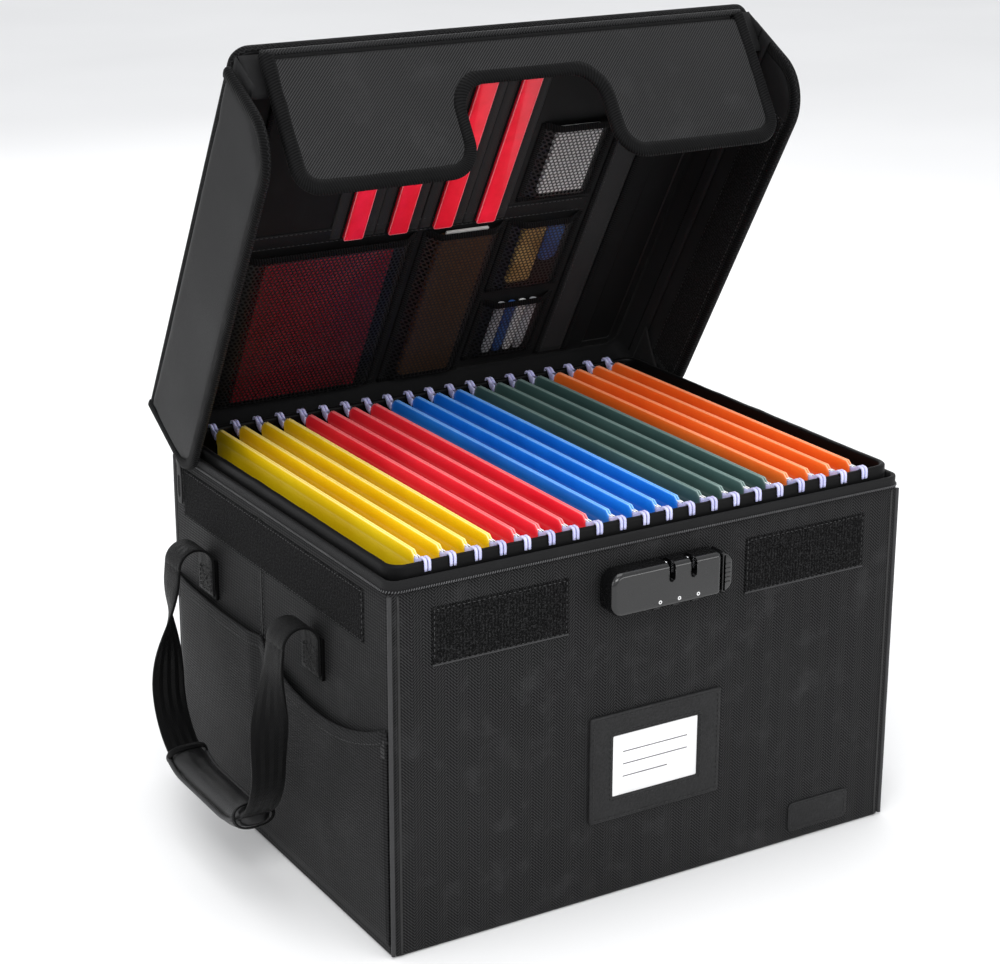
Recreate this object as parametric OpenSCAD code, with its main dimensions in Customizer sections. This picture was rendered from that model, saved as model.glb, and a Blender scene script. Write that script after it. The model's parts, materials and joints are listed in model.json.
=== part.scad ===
// Lockable document box for hanging folders.
// A cloth case stiffened with boards, a padded lid on a cloth hinge, three folding flaps,
// two sewn handles, a three-dial lock and five sets of hanging folders.
// Origin: centre of the underside. +X is right, +Y is back, +Z is up. Millimetres.
// The lid parts are drawn shut and then swung open by lid_open about the hinge line.

/* [Case] */
// Outer width of the cloth case, left to right
case_w = 400; // [396:1:420]
// Outer depth of the cloth case, front to back
case_d = 325; // [325:1:332]
// Height of the cloth walls above the floor
case_h = 250; // [248:1:256]
// Radius of the four upright corners
corner_r = 6; // [4:1:10]
// Thickness of the coated outer cloth
cloth_t = 1.2; // [0.8:0.1:1.6]
// Thickness of the stiffening boards
board_t = 3; // [2:0.5:3]

/* [Rim] */
// Height of the folder rim above the cloth walls
rim_rise = 16; // [14:1:18]
// Thickness of the padded rim
rim_t = 4; // [3.6:0.2:4.2]
// Height of the zip tape around the rim
zip_tape_h = 8; // [6:1:9]

/* [Lid] */
// Angle that the lid stands open
lid_open = 60; // [0:1:60]
// Depth of the zip skirt below the lid
skirt_h = 30.5; // [29:0.5:34]
// Thickness of the padded lid cover
lid_t = 7; // [6:0.5:8]

/* [Flaps] */
// Extra droop of the front flap past square while the lid is open
flap_droop = 28; // [0:1:28]
// Length of the front flap at its two lobes
front_flap_l = 100; // [90:1:104]
// Length of the front flap above the lock
front_notch_l = 36; // [30:1:42]
// Half width of the lock notch
notch_half_w = 54; // [52:1:58]
// Length of each side flap
side_flap_l = 79; // [70:1:79]
// Thickness of a flap
flap_t = 5; // [4:0.5:5]

/* [Handles] */
// Distance between the two straps of a handle, centre to centre
handle_span = 164; // [140:2:170]
// Distance from the strap hinge to the middle of the grip
handle_drop = 145; // [120:1:146]
// Width of the webbing
strap_w = 25; // [20:1:28]
// Thickness of the webbing
strap_t = 2.4; // [2:0.1:3]
// Handle and side crease position behind the middle of the side
side_mid_y = 19; // [-10:1:20]

/* [Lock] */
// Width of the lock case without its release
lock_w = 86; // [80:1:86]
// Height of the lock case
lock_h = 30; // [28:1:30]
// Depth of the lock case in front of its back plate
lock_t = 15.5; // [15.5:0.5:17]
// Radius of a number dial
dial_r = 6.4; // [6:0.1:6.4]
// Distance between the dials
dial_pitch = 15; // [14:0.5:16]

/* [Label] */
// Width of the label holder
label_w = 105; // [95:1:115]
// Height of the label holder
label_h = 77; // [70:1:80]

/* [Folders] */
// Distance from one hanging folder to the next
folder_pitch = 18; // [17.5:0.1:18]
// Length of a folder between its hooks
folder_l = 298; // [290:1:298]
// Height of a folder below the rim
folder_h = 236; // [220:1:238]
// Folders in each colour set
folders_per_set = 4; // [4:1:4]

/* [Hidden] */

$fn = 48;

// Clearance between layers that are glued or sewn together
layer_gap = 0.15;
// Clearance that keeps neighbouring solids apart where they only meet
seam_gap = 0.2;

half_w = case_w / 2;
half_d = case_d / 2;
bottom_t = 1.2;
liner_t = 0.8;
board_in_x = half_w - cloth_t - layer_gap;
board_in_y = half_d - cloth_t - layer_gap;
base_top = bottom_t + layer_gap + board_t;
liner_out_x = board_in_x - board_t - layer_gap;
liner_out_y = board_in_y - board_t - layer_gap;

// Rim
rim_top = case_h + rim_rise;
rim_out_x = half_w - 3.6;
rim_out_y = half_d - 3.5;
rail_t = 1;
rail_h = 12;
tape_t = 3;
tape_proud = 0.6;
coil_proud = 1.6;
coil_h = 2;

// Hook-and-loop
loop_t = 1.2;
loop_low = 207;
loop_high = 243;
loop_front_y = -130;
loop_back_y = 145;
patch_in_x = 70;
patch_out_x = 170;
patch_low = 197;
patch_high = 236;

// Hinge line of the lid, and the lid's own layers in the shut position
skirt_t = 1.5;
skirt_gap = 1.3;
hinge_y = half_d + skirt_gap + skirt_t;
hinge_z = case_h + 1.5;
skirt_low = case_h + 2.6;
lining_low = skirt_low + skirt_h;
lining_t = 1;
cover_low = lining_low + lining_t;
cover_half_w = half_w + 3.6;
cover_front_y = -half_d - 4.5;
cover_back_y = hinge_y + 1.2;
cover_corner_r = 12;
lid_board_t = 3;

// Flap folds
fold_y = -half_d - skirt_gap;
fold_z = lining_low - 0.5;
flap_top = lining_low - 1;
front_flap_y = -half_d - 5.5;
front_flap_half_w = 190;
side_flap_x = half_w + 4.7;
side_flap_front_y = -half_d + 4.5;
side_flap_back_y = half_d - 14.5;
hook_t = 1.2;

// Side pockets
pocket_gap = 5;
pocket_sheet_t = 1;
pocket_low = 8;
pocket_end_z = 158;
pocket_sag_front = 22;
pocket_sag_back = 3;
pocket_half_y = half_d - 3;

// Handles
tab_w = 24;
tab_low = pocket_end_z + 2;
tab_high = 190;
tab_t = 2.2;
handle_roll_r = 14;
handle_x = half_w + 16.8;
handle_z = 188;
handle_bend_r = 60;
handle_lean = 3;
twist_depth = 50;
grip_w = 30;
grip_t = 18;
grip_l = 116;

// Lock
lock_mid_z = 223;
lock_back_t = 1.5;
lock_y = -half_d - layer_gap - lock_back_t - layer_gap;
lock_corner_r = 9;
dial_w = 5.2;
dial_slot_w = 6;
dial_mid_x = 4.5;
dial_y = lock_y - 7.4;
dial_z = lock_mid_z - lock_h / 2 + 3.9;
dial_bore_r = 1.55;
spindle_r = 1.5;
spindle_half_l = 26;
lock_left_x = -47.5;
release_gap = 0.5;
release_w = 8.5;
release_fit = 0.4;
tongue_l = 12;
tongue_t = 5;
tongue_h = 7;
zip_slot_w = 3.4;
zip_slot_depth = 12;
zip_slot_x = [-1.5, 15.5];

// Label
label_mid_z = 95.5;
label_face_t = 1;
label_gap = 1.2;
window_w = 68;
window_h = 44;
card_w = 76;
card_h = 54;
card_t = 0.5;

// Zip sliders
slider_l = 13;
slider_t = 2.6;
slider_low = case_h - 6.2;
slider_high = case_h - 0.1;
slider_y = 147;
pull_w = 9;
pull_l = 30;
pull_t = 1.2;
pull_x = half_w + 2.2;
pull_z = case_h - 4;

// Folders
folder_count = 5 * folders_per_set;
card_panel_t = 0.8;
head_t = 2.4;
head_h = 10;
head_spread = 2.1;
rod_t = 1.5;
rod_h = 7.6;
rod_fit = 0.15;
folder_head_top = rim_top + 2;
folder_bottom = folder_head_top - folder_h;
hook_plate_t = 2.2;
hook_top_t = 2;
hook_fit = 0.4;
hook_lip_t = 1.5;
hook_lip_drop = 6.5;

// Lid pockets, in distances from the hinge line along the lid
organiser_t = 1.1;
organiser_half_w = 168;
organiser_far = 315;
organiser_low = lining_low - organiser_t - 0.05;
mesh_t = 0.8;
band_near = 157;
band_far = 170;
band_depth = 6.6;
pen_w = 15;
pen_t = 5;
pen_near = 158;
pen_far = 300;
pen_x = [-79, -43, -6, 30];

// [left, right, near, far, depth of what it holds] of the five mesh pockets
pockets = [
    [-165, -25, 3, 155, 7],
    [-16, 50, 3, 155, 7],
    [56, 116, 174, 246, 6],
    [56, 116, 84, 155, 6],
    [56, 116, 12, 74, 6]
];
pocket_mesh_side = 7;

// ---------------------------------------------------------------- helpers

// A box given by its two corners.
module slab(low, high) {
    translate(low)
        cube(high - low);
}

// A rectangle with round corners, centred on the origin.
module rounded_rect(w, d, r) {
    square([w - 2 * r, d], center = true);
    square([w, d - 2 * r], center = true);
    for (x = [-1, 1], y = [-1, 1])
        translate([x * (w / 2 - r), y * (d / 2 - r)])
            circle(r);
}

// A wall that runs round a rounded rectangle.
module rounded_ring(out_w, out_d, r, wall, h) {
    linear_extrude(height = h)
        difference() {
            rounded_rect(out_w, out_d, r);
            rounded_rect(out_w - 2 * wall, out_d - 2 * wall, max(r - wall, 0.5));
        }
}

// Points of an arc from angle a0 to angle a1.
function arc(centre, r, a0, a1, steps = 10) =
    [for (i = [0:steps]) centre + r * [cos(a0 + (a1 - a0) * i / steps), sin(a0 + (a1 - a0) * i / steps)]];

// Draws its children on both sides, mirrored left to right.
module both_sides() {
    children();
    mirror([1, 0, 0])
        children();
}

// Stands a flat outline, drawn in Y and Z, on the plane x = at, t thick towards +X.
module upright_yz(at, t) {
    translate([at, 0, 0])
        rotate([90, 0, 90])
            linear_extrude(height = t)
                children();
}

// Stands a flat outline, drawn in X and Z, on the plane y = at, t thick towards -Y.
module upright_xz(at, t) {
    translate([0, at, 0])
        rotate([90, 0, 0])
            linear_extrude(height = t)
                children();
}

// Moves a shut lid piece to where the open lid holds it.
module on_open_lid() {
    translate([0, hinge_y, hinge_z])
        rotate([-lid_open, 0, 0])
            translate([0, -hinge_y, -hinge_z])
                children();
}

// Moves a shut front-fold piece to where it droops from the open lid.
module on_front_fold() {
    on_open_lid()
        translate([0, fold_y, fold_z])
            rotate([flap_droop, 0, 0])
                translate([0, -fold_y, -fold_z])
                    children();
}

// ---------------------------------------------------------------- case

module outer_shell() {
    color("#26262a")
        translate([0, 0, bottom_t])
            rounded_ring(case_w, case_d, corner_r, cloth_t, case_h - bottom_t);
}

module bottom_cloth() {
    color("#1c1c1e")
        linear_extrude(height = bottom_t)
            rounded_rect(case_w, case_d, corner_r);
}

module base_board() {
    color("#8a7a62")
        slab([-board_in_x + corner_r, -board_in_y, bottom_t + layer_gap],
             [board_in_x - corner_r, board_in_y, base_top]);
}

// Front or back board: a plain sheet behind the cloth.
module end_board(y) {
    board_half_w = board_in_x - corner_r;
    slab([-board_half_w, y, base_top + layer_gap], [board_half_w, y + board_t, case_h - 1]);
}

module front_board() {
    color("#8a7a62")
        end_board(-board_in_y);
}

module back_board() {
    color("#8a7a62")
        end_board(board_in_y - board_t);
}

// The two boards of one side, parted at the crease where the side folds inwards.
module side_boards(x) {
    crease = 3;
    reach = board_in_y - corner_r;
    low = bottom_t + layer_gap;
    slab([x, -reach, low], [x + board_t, side_mid_y - crease / 2, case_h - 1]);
    slab([x, side_mid_y + crease / 2, low], [x + board_t, reach, case_h - 1]);
}

module left_boards() {
    color("#8a7a62")
        side_boards(-board_in_x);
}

module right_boards() {
    color("#8a7a62")
        side_boards(board_in_x - board_t);
}

module inner_liner() {
    floor_z = base_top + layer_gap;
    color("#202022")
        difference() {
            slab([-liner_out_x, -liner_out_y, floor_z], [liner_out_x, liner_out_y, case_h]);
            slab([-liner_out_x + liner_t, -liner_out_y + liner_t, floor_z + liner_t],
                 [liner_out_x - liner_t, liner_out_y - liner_t, case_h + 1]);
        }
}

// Four padded bars that stand round the mouth. The folder hooks hang on the front and back ones.
module rim_collar() {
    low = case_h + 0.1;
    rail_low = case_h + 2;
    rail_mid = rim_out_y - rim_t / 2;
    color("#0e0e10")
        for (side = [-1, 1]) {
            front = side < 0 ? -rim_out_y : rim_out_y - rim_t;
            left = side < 0 ? -rim_out_x : rim_out_x - rim_t;
            difference() {
                slab([-rim_out_x, front, low], [rim_out_x, front + rim_t, rim_top]);
                slab([-rim_out_x + 5, side * rail_mid - rail_t / 2 - 0.05, rail_low - 0.05],
                     [rim_out_x - 5, side * rail_mid + rail_t / 2 + 0.05, rail_low + rail_h + 0.05]);
            }
            slab([left, -rim_out_y + rim_t + seam_gap, low],
                 [left + rim_t, rim_out_y - rim_t - seam_gap, rim_top]);
        }
}

// Steel strips sewn into the front and back of the rim.
module hanging_rails() {
    low = case_h + 2;
    color("silver")
        for (side = [-1, 1])
            translate([0, side * (rim_out_y - rim_t / 2), low + rail_h / 2])
                cube([2 * rim_out_x - 12, rail_t, rail_h], center = true);
}

// Zip tape round the rim, with its coil along the lower edge of the front and the sides.
module body_zipper() {
    tape_w = case_w + 2 * tape_proud;
    tape_d = case_d + 2 * tape_proud;
    coil_low = case_h + 0.3;
    color("#3a3a3c") {
        translate([0, 0, case_h + 0.1])
            rounded_ring(tape_w, tape_d, corner_r + tape_proud, tape_t, zip_tape_h);
        difference() {
            translate([0, 0, coil_low])
                rounded_ring(tape_w + 2 * (coil_proud - tape_proud), tape_d + 2 * (coil_proud - tape_proud),
                             corner_r + coil_proud, coil_proud, coil_h);
            slab([-case_w, half_d - corner_r, coil_low - 1], [case_w, case_d, coil_low + coil_h + 1]);
        }
    }
}

// Round piping sewn up the four corners.
module corner_piping() {
    piping_r = 1.4;
    out = (corner_r + piping_r + 0.05) / sqrt(2);
    color("#4a4a4e")
        for (x = [-1, 1], y = [-1, 1])
            translate([x * (half_w - corner_r + out), y * (half_d - corner_r + out), bottom_t])
                cylinder(r = piping_r, h = case_h - bottom_t - 1, $fn = 24);
}

module front_loop_patches() {
    color("#1a1a1c")
        both_sides()
            slab([patch_in_x, -half_d - 0.05 - loop_t, patch_low], [patch_out_x, -half_d - 0.05, patch_high]);
}

module side_loop_strips() {
    color("#1a1a1c")
        both_sides()
            slab([half_w + 0.05, loop_front_y, loop_low], [half_w + 0.05 + loop_t, loop_back_y, loop_high]);
}

// Height of a side pocket's top edge: it is caught up at the crease and sags on both sides of it.
function pocket_top(y, reach) =
    let (span = y < side_mid_y ? side_mid_y + reach : reach - side_mid_y)
    let (s = abs(y - side_mid_y) / span)
    pocket_end_z - 4 * s * (1 - s) * (y < side_mid_y ? pocket_sag_front : pocket_sag_back);

// Outline of a side pocket in Y and Z.
module pocket_outline(inset, top_extra) {
    reach = pocket_half_y - inset;
    steps = 24;
    polygon(concat(
        [[-reach, pocket_low + inset], [reach, pocket_low + inset]],
        [for (i = [0:steps])
            let (y = reach * (1 - 2 * i / steps))
            [y, pocket_top(y, reach) + top_extra]]
    ));
}

// A slip pocket on each side: a sheet that stands off the wall and is open along its top.
module side_pockets() {
    color("#232326")
        both_sides()
            difference() {
                upright_yz(half_w + 0.1, pocket_gap + pocket_sheet_t)
                    pocket_outline(0, 0);
                upright_yz(half_w, pocket_gap + 0.1)
                    pocket_outline(1.5, 20);
            }
}

// The sewn ends of the two handles: four flat tabs on the walls.
module handle_tabs() {
    color("#101012")
        both_sides()
            for (end = [-1, 1])
                translate([0, side_mid_y + end * handle_span / 2, 0])
                    slab([half_w + 0.1, -tab_w / 2, tab_low], [half_w + 0.1 + tab_t, tab_w / 2, tab_high]);
}

// ---------------------------------------------------------------- label and patch

// A frame with a window over three spacer strips, open along its top.
module label_holder() {
    back = -half_d - 0.05;
    color("#151517")
        difference() {
            upright_xz(back, label_gap + label_face_t)
                translate([0, label_mid_z])
                    rounded_rect(label_w, label_h, 2);
            upright_xz(back + 1, label_gap + label_face_t + 2)
                translate([0, label_mid_z])
                    square([window_w, window_h], center = true);
            slab([-card_w / 2 - 0.5, back - label_gap, label_mid_z - card_h / 2 - 0.5],
                 [card_w / 2 + 0.5, back + 1, label_mid_z + label_h]);
        }
}

module label_card() {
    back = -half_d - 0.05 - (label_gap - card_t) / 2;
    color("white")
        slab([-card_w / 2, back - card_t, label_mid_z - card_h / 2],
             [card_w / 2, back, label_mid_z + card_h / 2]);
}

// A plain stitched patch low on the right of the front.
module corner_patch() {
    color("#1d1d1f")
        upright_xz(-half_d - 0.05, 1.2)
            translate([141, 19])
                rounded_rect(52, 22, 4);
}

// ---------------------------------------------------------------- lock

module lock_backplate() {
    color("#2a2a2c")
        upright_xz(-half_d - layer_gap, lock_back_t)
            translate([lock_left_x + lock_w / 2, lock_mid_z])
                rounded_rect(lock_w - 6, lock_h - 4, 6);
}

// Where the dials sit along X.
function dial_x(i) = dial_mid_x + (i - 1) * dial_pitch;

// The release's tongue, or with extra room the pocket it slides in.
module release_tongue(extra) {
    start = lock_left_x + lock_w - tongue_l;
    mid_y = lock_y - lock_t / 2;
    slab([start - extra, mid_y - tongue_t / 2 - extra, lock_mid_z + 2 - extra],
         [lock_left_x + lock_w + release_gap + 1, mid_y + tongue_t / 2 + extra,
          lock_mid_z + 2 + tongue_h + extra]);
}

// A round bar along X through the dial axis.
module dial_axis_bar(r, low, high) {
    translate([low, dial_y, dial_z])
        rotate([0, 90, 0])
            cylinder(r = r, h = high - low);
}

module lock_housing() {
    top = lock_mid_z + lock_h / 2;
    bottom = lock_mid_z - lock_h / 2;
    color("#050506")
        difference() {
            upright_xz(lock_y, lock_t)
                translate([lock_left_x + lock_w / 2, lock_mid_z])
                    rounded_rect(lock_w, lock_h, lock_corner_r);
            for (i = [0:2]) {
                dial_axis_bar(dial_r + 0.5, dial_x(i) - dial_slot_w / 2, dial_x(i) + dial_slot_w / 2);
                slab([dial_x(i) - dial_slot_w / 2, dial_y - dial_r - 0.4, bottom - 1],
                     [dial_x(i) + dial_slot_w / 2, dial_y + dial_r + 0.4, dial_z]);
            }
            dial_axis_bar(spindle_r + 0.02,
                          dial_mid_x - spindle_half_l - 0.1, dial_mid_x + spindle_half_l + 0.1);
            for (x = zip_slot_x)
                slab([x - zip_slot_w / 2, lock_y - lock_t - 1, top - zip_slot_depth],
                     [x + zip_slot_w / 2, lock_y - 4, top + 1]);
            release_tongue(release_fit);
        }
}

module dial_spindle() {
    color("silver")
        dial_axis_bar(spindle_r, dial_mid_x - spindle_half_l, dial_mid_x + spindle_half_l);
}

// A number dial with ten finger flutes.
module dial(i) {
    flutes = 10;
    color("#18181a")
        difference() {
            dial_axis_bar(dial_r, dial_x(i) - dial_w / 2, dial_x(i) + dial_w / 2);
            dial_axis_bar(dial_bore_r, dial_x(i) - dial_w, dial_x(i) + dial_w);
            for (k = [0:flutes - 1])
                translate([dial_x(i) - dial_w, dial_y, dial_z])
                    rotate([360 * (k + 0.5) / flutes, 0, 0])
                        translate([0, 0, dial_r + 0.5])
                            rotate([0, 90, 0])
                                cylinder(r = 1, h = 2 * dial_w, $fn = 16);
        }
}

module dial_left() {
    dial(0);
}

module dial_middle() {
    dial(1);
}

module dial_right() {
    dial(2);
}

// The sliding release at the right end of the lock, with a tongue that guides it.
module lock_release() {
    left = lock_left_x + lock_w + release_gap;
    color("#0a0a0b") {
        upright_xz(lock_y - 0.6, lock_t - 1.2)
            translate([left, lock_mid_z])
                intersection() {
                    translate([release_w - 15, 0])
                        rounded_rect(30, lock_h - 1, lock_corner_r);
                    translate([0, -lock_h])
                        square([release_w + 1, 2 * lock_h]);
                }
        release_tongue(0);
    }
}

// ---------------------------------------------------------------- zip sliders

// A slider under the coil on the right wall, with a lug for its pull.
module slider() {
    color("#2c2c2e")
        difference() {
            slab([half_w + 0.3, slider_y - slider_l / 2, slider_low],
                 [half_w + 0.3 + slider_t, slider_y + slider_l / 2, slider_high]);
            slab([half_w + 1.2, slider_y - pull_w / 2 - 0.3, slider_low - 1],
                 [half_w + 1 + slider_t, slider_y + pull_w / 2 + 0.3, pull_z + 1.1]);
        }
}

module zipper_slider_right() {
    slider();
}

module zipper_slider_left() {
    mirror([1, 0, 0])
        slider();
}

// A flat pull that hangs from the slider, with a slot for the lock's pin.
module pull() {
    color("#1a1a1c")
        difference() {
            slab([pull_x - pull_t / 2, slider_y - pull_w / 2, pull_z - pull_l],
                 [pull_x + pull_t / 2, slider_y + pull_w / 2, pull_z + 0.6]);
            slab([pull_x - pull_t, slider_y - 2, pull_z - pull_l + 3],
                 [pull_x + pull_t, slider_y + 2, pull_z - 14]);
        }
}

module zipper_pull_right() {
    pull();
}

module zipper_pull_left() {
    mirror([1, 0, 0])
        pull();
}

// ---------------------------------------------------------------- lid

// Outline of the lid seen from above.
module lid_outline(inset) {
    mid_y = (cover_front_y + cover_back_y) / 2;
    translate([0, mid_y])
        rounded_rect(2 * (cover_half_w - inset), cover_back_y - cover_front_y - 2 * inset,
                     cover_corner_r - inset);
}

// The padded cover, with a recess underneath for the board.
module lid_cover() {
    color("#242427")
        on_open_lid()
            difference() {
                translate([0, 0, cover_low])
                    linear_extrude(height = lid_t)
                        lid_outline(0);
                translate([0, 0, cover_low - 1])
                    linear_extrude(height = lid_board_t + 1.1)
                        lid_outline(5);
            }
}

module lid_board() {
    color("#8a7a62")
        on_open_lid()
            translate([0, 0, cover_low])
                linear_extrude(height = lid_board_t)
                    lid_outline(5.1);
}

module lid_lining() {
    color("#19191b")
        on_open_lid()
            translate([0, 0, lining_low])
                linear_extrude(height = lining_t - 0.02)
                    lid_outline(1);
}

// Zip skirt along the back and the two sides of the lid.
module lid_zipper_skirt() {
    side_in = half_w + skirt_gap;
    high = lining_low - 0.1;
    color("#141416")
        on_open_lid() {
            both_sides()
                slab([side_in, fold_y + 0.6, skirt_low],
                     [side_in + skirt_t, half_d + skirt_gap - seam_gap, high]);
            slab([-side_in - skirt_t, half_d + skirt_gap, skirt_low], [side_in + skirt_t, hinge_y, high]);
        }
}

// A place on the lid at a distance from the hinge line, in the shut position.
function along_lid(distance) = hinge_y - distance;

// The lining's pocket panel, with the stitched band that holds the pens.
module organiser_panel() {
    color("#1b1b1d")
        on_open_lid()
            difference() {
                union() {
                    slab([-organiser_half_w, along_lid(organiser_far), organiser_low],
                         [organiser_half_w, along_lid(3), organiser_low + organiser_t]);
                    slab([pen_x[0] - pen_w / 2 - 4, along_lid(band_far), organiser_low - band_depth],
                         [pen_x[3] + pen_w / 2 + 4, along_lid(band_near), organiser_low]);
                }
                for (x = pen_x)
                    slab([x - pen_w / 2 - 0.3, along_lid(band_far + 1), organiser_low - pen_t - 0.5],
                         [x + pen_w / 2 + 0.3, along_lid(band_near - 1), organiser_low]);
            }
}

// Five mesh pockets that lie close over what they hold, each open along its far edge.
module mesh_pockets() {
    color([0.2, 0.2, 0.2, 0.6])
        on_open_lid()
            for (p = pockets)
                difference() {
                    slab([p[0], along_lid(p[3]), organiser_low - p[4] - 0.4 - mesh_t],
                         [p[1], along_lid(p[2]), organiser_low - 0.05]);
                    slab([p[0] + pocket_mesh_side, along_lid(p[3] + 1), organiser_low - p[4] - 0.4],
                         [p[1] - pocket_mesh_side, along_lid(p[2] + 2), organiser_low]);
                }
}

module red_pens() {
    color("#e8192c")
        on_open_lid()
            for (x = pen_x)
                translate([x, along_lid((pen_near + pen_far) / 2), organiser_low - 0.2 - pen_t])
                    linear_extrude(height = pen_t)
                        rounded_rect(pen_w, pen_far - pen_near, 2);
}

// What fills pocket p, kept clear of the mesh all round.
module pocket_filling(p, extra_side) {
    side = pocket_mesh_side + extra_side;
    slab([p[0] + side, along_lid(p[3] - 1), organiser_low - 0.1 - p[4]],
         [p[1] - side, along_lid(p[2] + 3), organiser_low - 0.1]);
}

module notebook() {
    color("#7a0f1c")
        on_open_lid()
            pocket_filling(pockets[0], 5);
}

module pocket_items() {
    colours = ["#5a3a22", "#d8d8de", "#b08a3a", "#e8e8ea"];
    on_open_lid()
        for (i = [0:3])
            color(colours[i])
                pocket_filling(pockets[i + 1], 2);
}

// ---------------------------------------------------------------- flaps

module front_zipper_skirt() {
    color("#141416")
        on_front_fold()
            slab([-half_w - 0.9, fold_y - skirt_t, skirt_low], [half_w + 0.9, fold_y, fold_z]);
}

// Outline of the front flap, hanging down from z = 0, with a notch that clears the lock.
module front_flap_outline() {
    lobe_r = 18;
    inner_r = 20;
    notch_r = 18;
    right_half = concat(
        [[0, -front_notch_l]],
        arc([notch_half_w - notch_r, -front_notch_l - notch_r], notch_r, 90, 0),
        arc([notch_half_w + inner_r, -front_flap_l + inner_r], inner_r, 180, 270),
        arc([front_flap_half_w - lobe_r, -front_flap_l + lobe_r], lobe_r, 270, 360),
        [[front_flap_half_w, 0], [0, 0]]
    );
    polygon(right_half);
    mirror([1, 0])
        polygon(right_half);
}

module front_flap() {
    color("#2a2a2d")
        on_front_fold()
            upright_xz(front_flap_y, flap_t)
                translate([0, flap_top])
                    front_flap_outline();
}

module front_flap_hooks() {
    color("#1a1a1c")
        on_front_fold()
            both_sides()
                slab([patch_in_x + 2, front_flap_y + 0.05, patch_low],
                     [patch_out_x - 2, front_flap_y + hook_t, patch_high]);
}

// Outline of a side flap in Y and Z, hanging down from z = 0.
module side_flap_outline() {
    front_r = 34;
    back_r = 22;
    polygon(concat(
        [[side_flap_front_y, 0]],
        arc([side_flap_front_y + front_r, -side_flap_l + front_r], front_r, 180, 270, 16),
        arc([side_flap_back_y - back_r, -side_flap_l + back_r], back_r, 270, 360),
        [[side_flap_back_y, 0]]
    ));
}

module side_flap() {
    color("#2a2a2d")
        upright_yz(side_flap_x, flap_t)
            translate([0, flap_top])
                side_flap_outline();
}

module side_flap_hooks() {
    color("#1a1a1c")
        slab([side_flap_x - hook_t, loop_front_y + 8, loop_low + 2],
             [side_flap_x - 0.05, loop_back_y - 10, loop_high - 2]);
}

module right_flap() {
    on_open_lid()
        side_flap();
}

module right_flap_hooks() {
    on_open_lid()
        side_flap_hooks();
}

module left_flap() {
    on_open_lid()
        mirror([1, 0, 0])
            side_flap();
}

module left_flap_hooks() {
    on_open_lid()
        mirror([1, 0, 0])
            side_flap_hooks();
}

// ---------------------------------------------------------------- handles

// Outline of a band that hangs as a U below z = 0 between the two strap ends, t thick.
module handle_band(t, from_depth) {
    half = handle_span / 2;
    r = handle_bend_r;
    straight = handle_drop - r;
    for (end = [-1, 1]) {
        translate([end * half - t / 2, -straight])
            square([t, straight - from_depth]);
        translate([end * (half - r), -straight])
            intersection() {
                difference() {
                    circle(r + t / 2, $fn = 96);
                    circle(r - t / 2, $fn = 96);
                }
                translate([end < 0 ? -2 * r : 0, -2 * r])
                    square([2 * r, 2 * r]);
            }
    }
    translate([-half + r, -handle_drop - t / 2])
        square([2 * (half - r), t]);
}

// Hangs its children from the right handle's bend line.
module on_right_handle() {
    translate([handle_x, side_mid_y, handle_z])
        rotate([0, -handle_lean, 0])
            children();
}

// The middle stretch of the handle, where the padded sleeve is.
module grip_window(extra) {
    translate([-grip_l / 2 - extra, -handle_drop - grip_w])
        square([grip_l + 2 * extra, handle_drop + grip_w / 2]);
}

// Profile of a strap's end in X and Z: a half-round bend away from the tab, and the webbing
// that hangs from it.
module strap_end_profile() {
    difference() {
        circle(handle_roll_r);
        circle(handle_roll_r - strap_t);
        translate([-handle_roll_r - 1, -2 * handle_roll_r])
            square([2 * handle_roll_r + 2, 2 * handle_roll_r]);
    }
    translate([handle_roll_r - strap_t, -twist_depth])
        square([strap_t, twist_depth + 0.01]);
}

// The webbing: flat to the wall above, then turned edge-on to it for the curve below.
module handle_strap() {
    mid_x = handle_roll_r - strap_t / 2;
    color("#121214")
        on_right_handle() {
            for (end = [-1, 1])
                translate([0, end * handle_span / 2 + strap_w / 2, 0])
                    rotate([90, 0, 0])
                        linear_extrude(height = strap_w)
                            strap_end_profile();
            upright_yz(mid_x - strap_w / 2, strap_w)
                difference() {
                    handle_band(strap_t, twist_depth - 2);
                    grip_window(0.1);
                }
        }
}

// The padded sleeve round the middle of the handle.
module handle_grip() {
    mid_x = handle_roll_r - strap_t / 2;
    color("#1c1c1e")
        on_right_handle()
            upright_yz(mid_x - grip_w / 2, grip_w)
                intersection() {
                    handle_band(grip_t, 0);
                    grip_window(0);
                }
}

module right_handle_strap() {
    handle_strap();
}

module right_handle_grip() {
    handle_grip();
}

module left_handle_strap() {
    mirror([1, 0, 0])
        handle_strap();
}

module left_handle_grip() {
    mirror([1, 0, 0])
        handle_grip();
}

// ---------------------------------------------------------------- hanging folders

// Where folder i hangs along X.
function folder_x(i) = (i - (folder_count - 1) / 2) * folder_pitch;

// Cross-section of one folder in X and Z: two card panels that meet in a fold, each with a
// hollow head for its rod.
module folder_section() {
    head_low = folder_head_top - head_h;
    half_t = card_panel_t / 2;
    difference() {
        union() {
            for (side = [-1, 1]) {
                polygon([
                    [side * head_spread - half_t, head_low + 0.5],
                    [side * head_spread + half_t, head_low + 0.5],
                    [side * 1.2 + half_t, folder_bottom + 1],
                    [side * 1.2 - half_t, folder_bottom + 1]
                ]);
                translate([side * head_spread - head_t / 2, head_low])
                    square([head_t, head_h]);
            }
            translate([-1.2 - half_t, folder_bottom])
                square([2.4 + card_panel_t, 1.2]);
        }
        for (side = [-1, 1])
            translate([side * head_spread - rod_t / 2 - rod_fit, head_low + (head_h - rod_h) / 2 - rod_fit])
                square([rod_t + 2 * rod_fit, rod_h + 2 * rod_fit]);
    }
}

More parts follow.
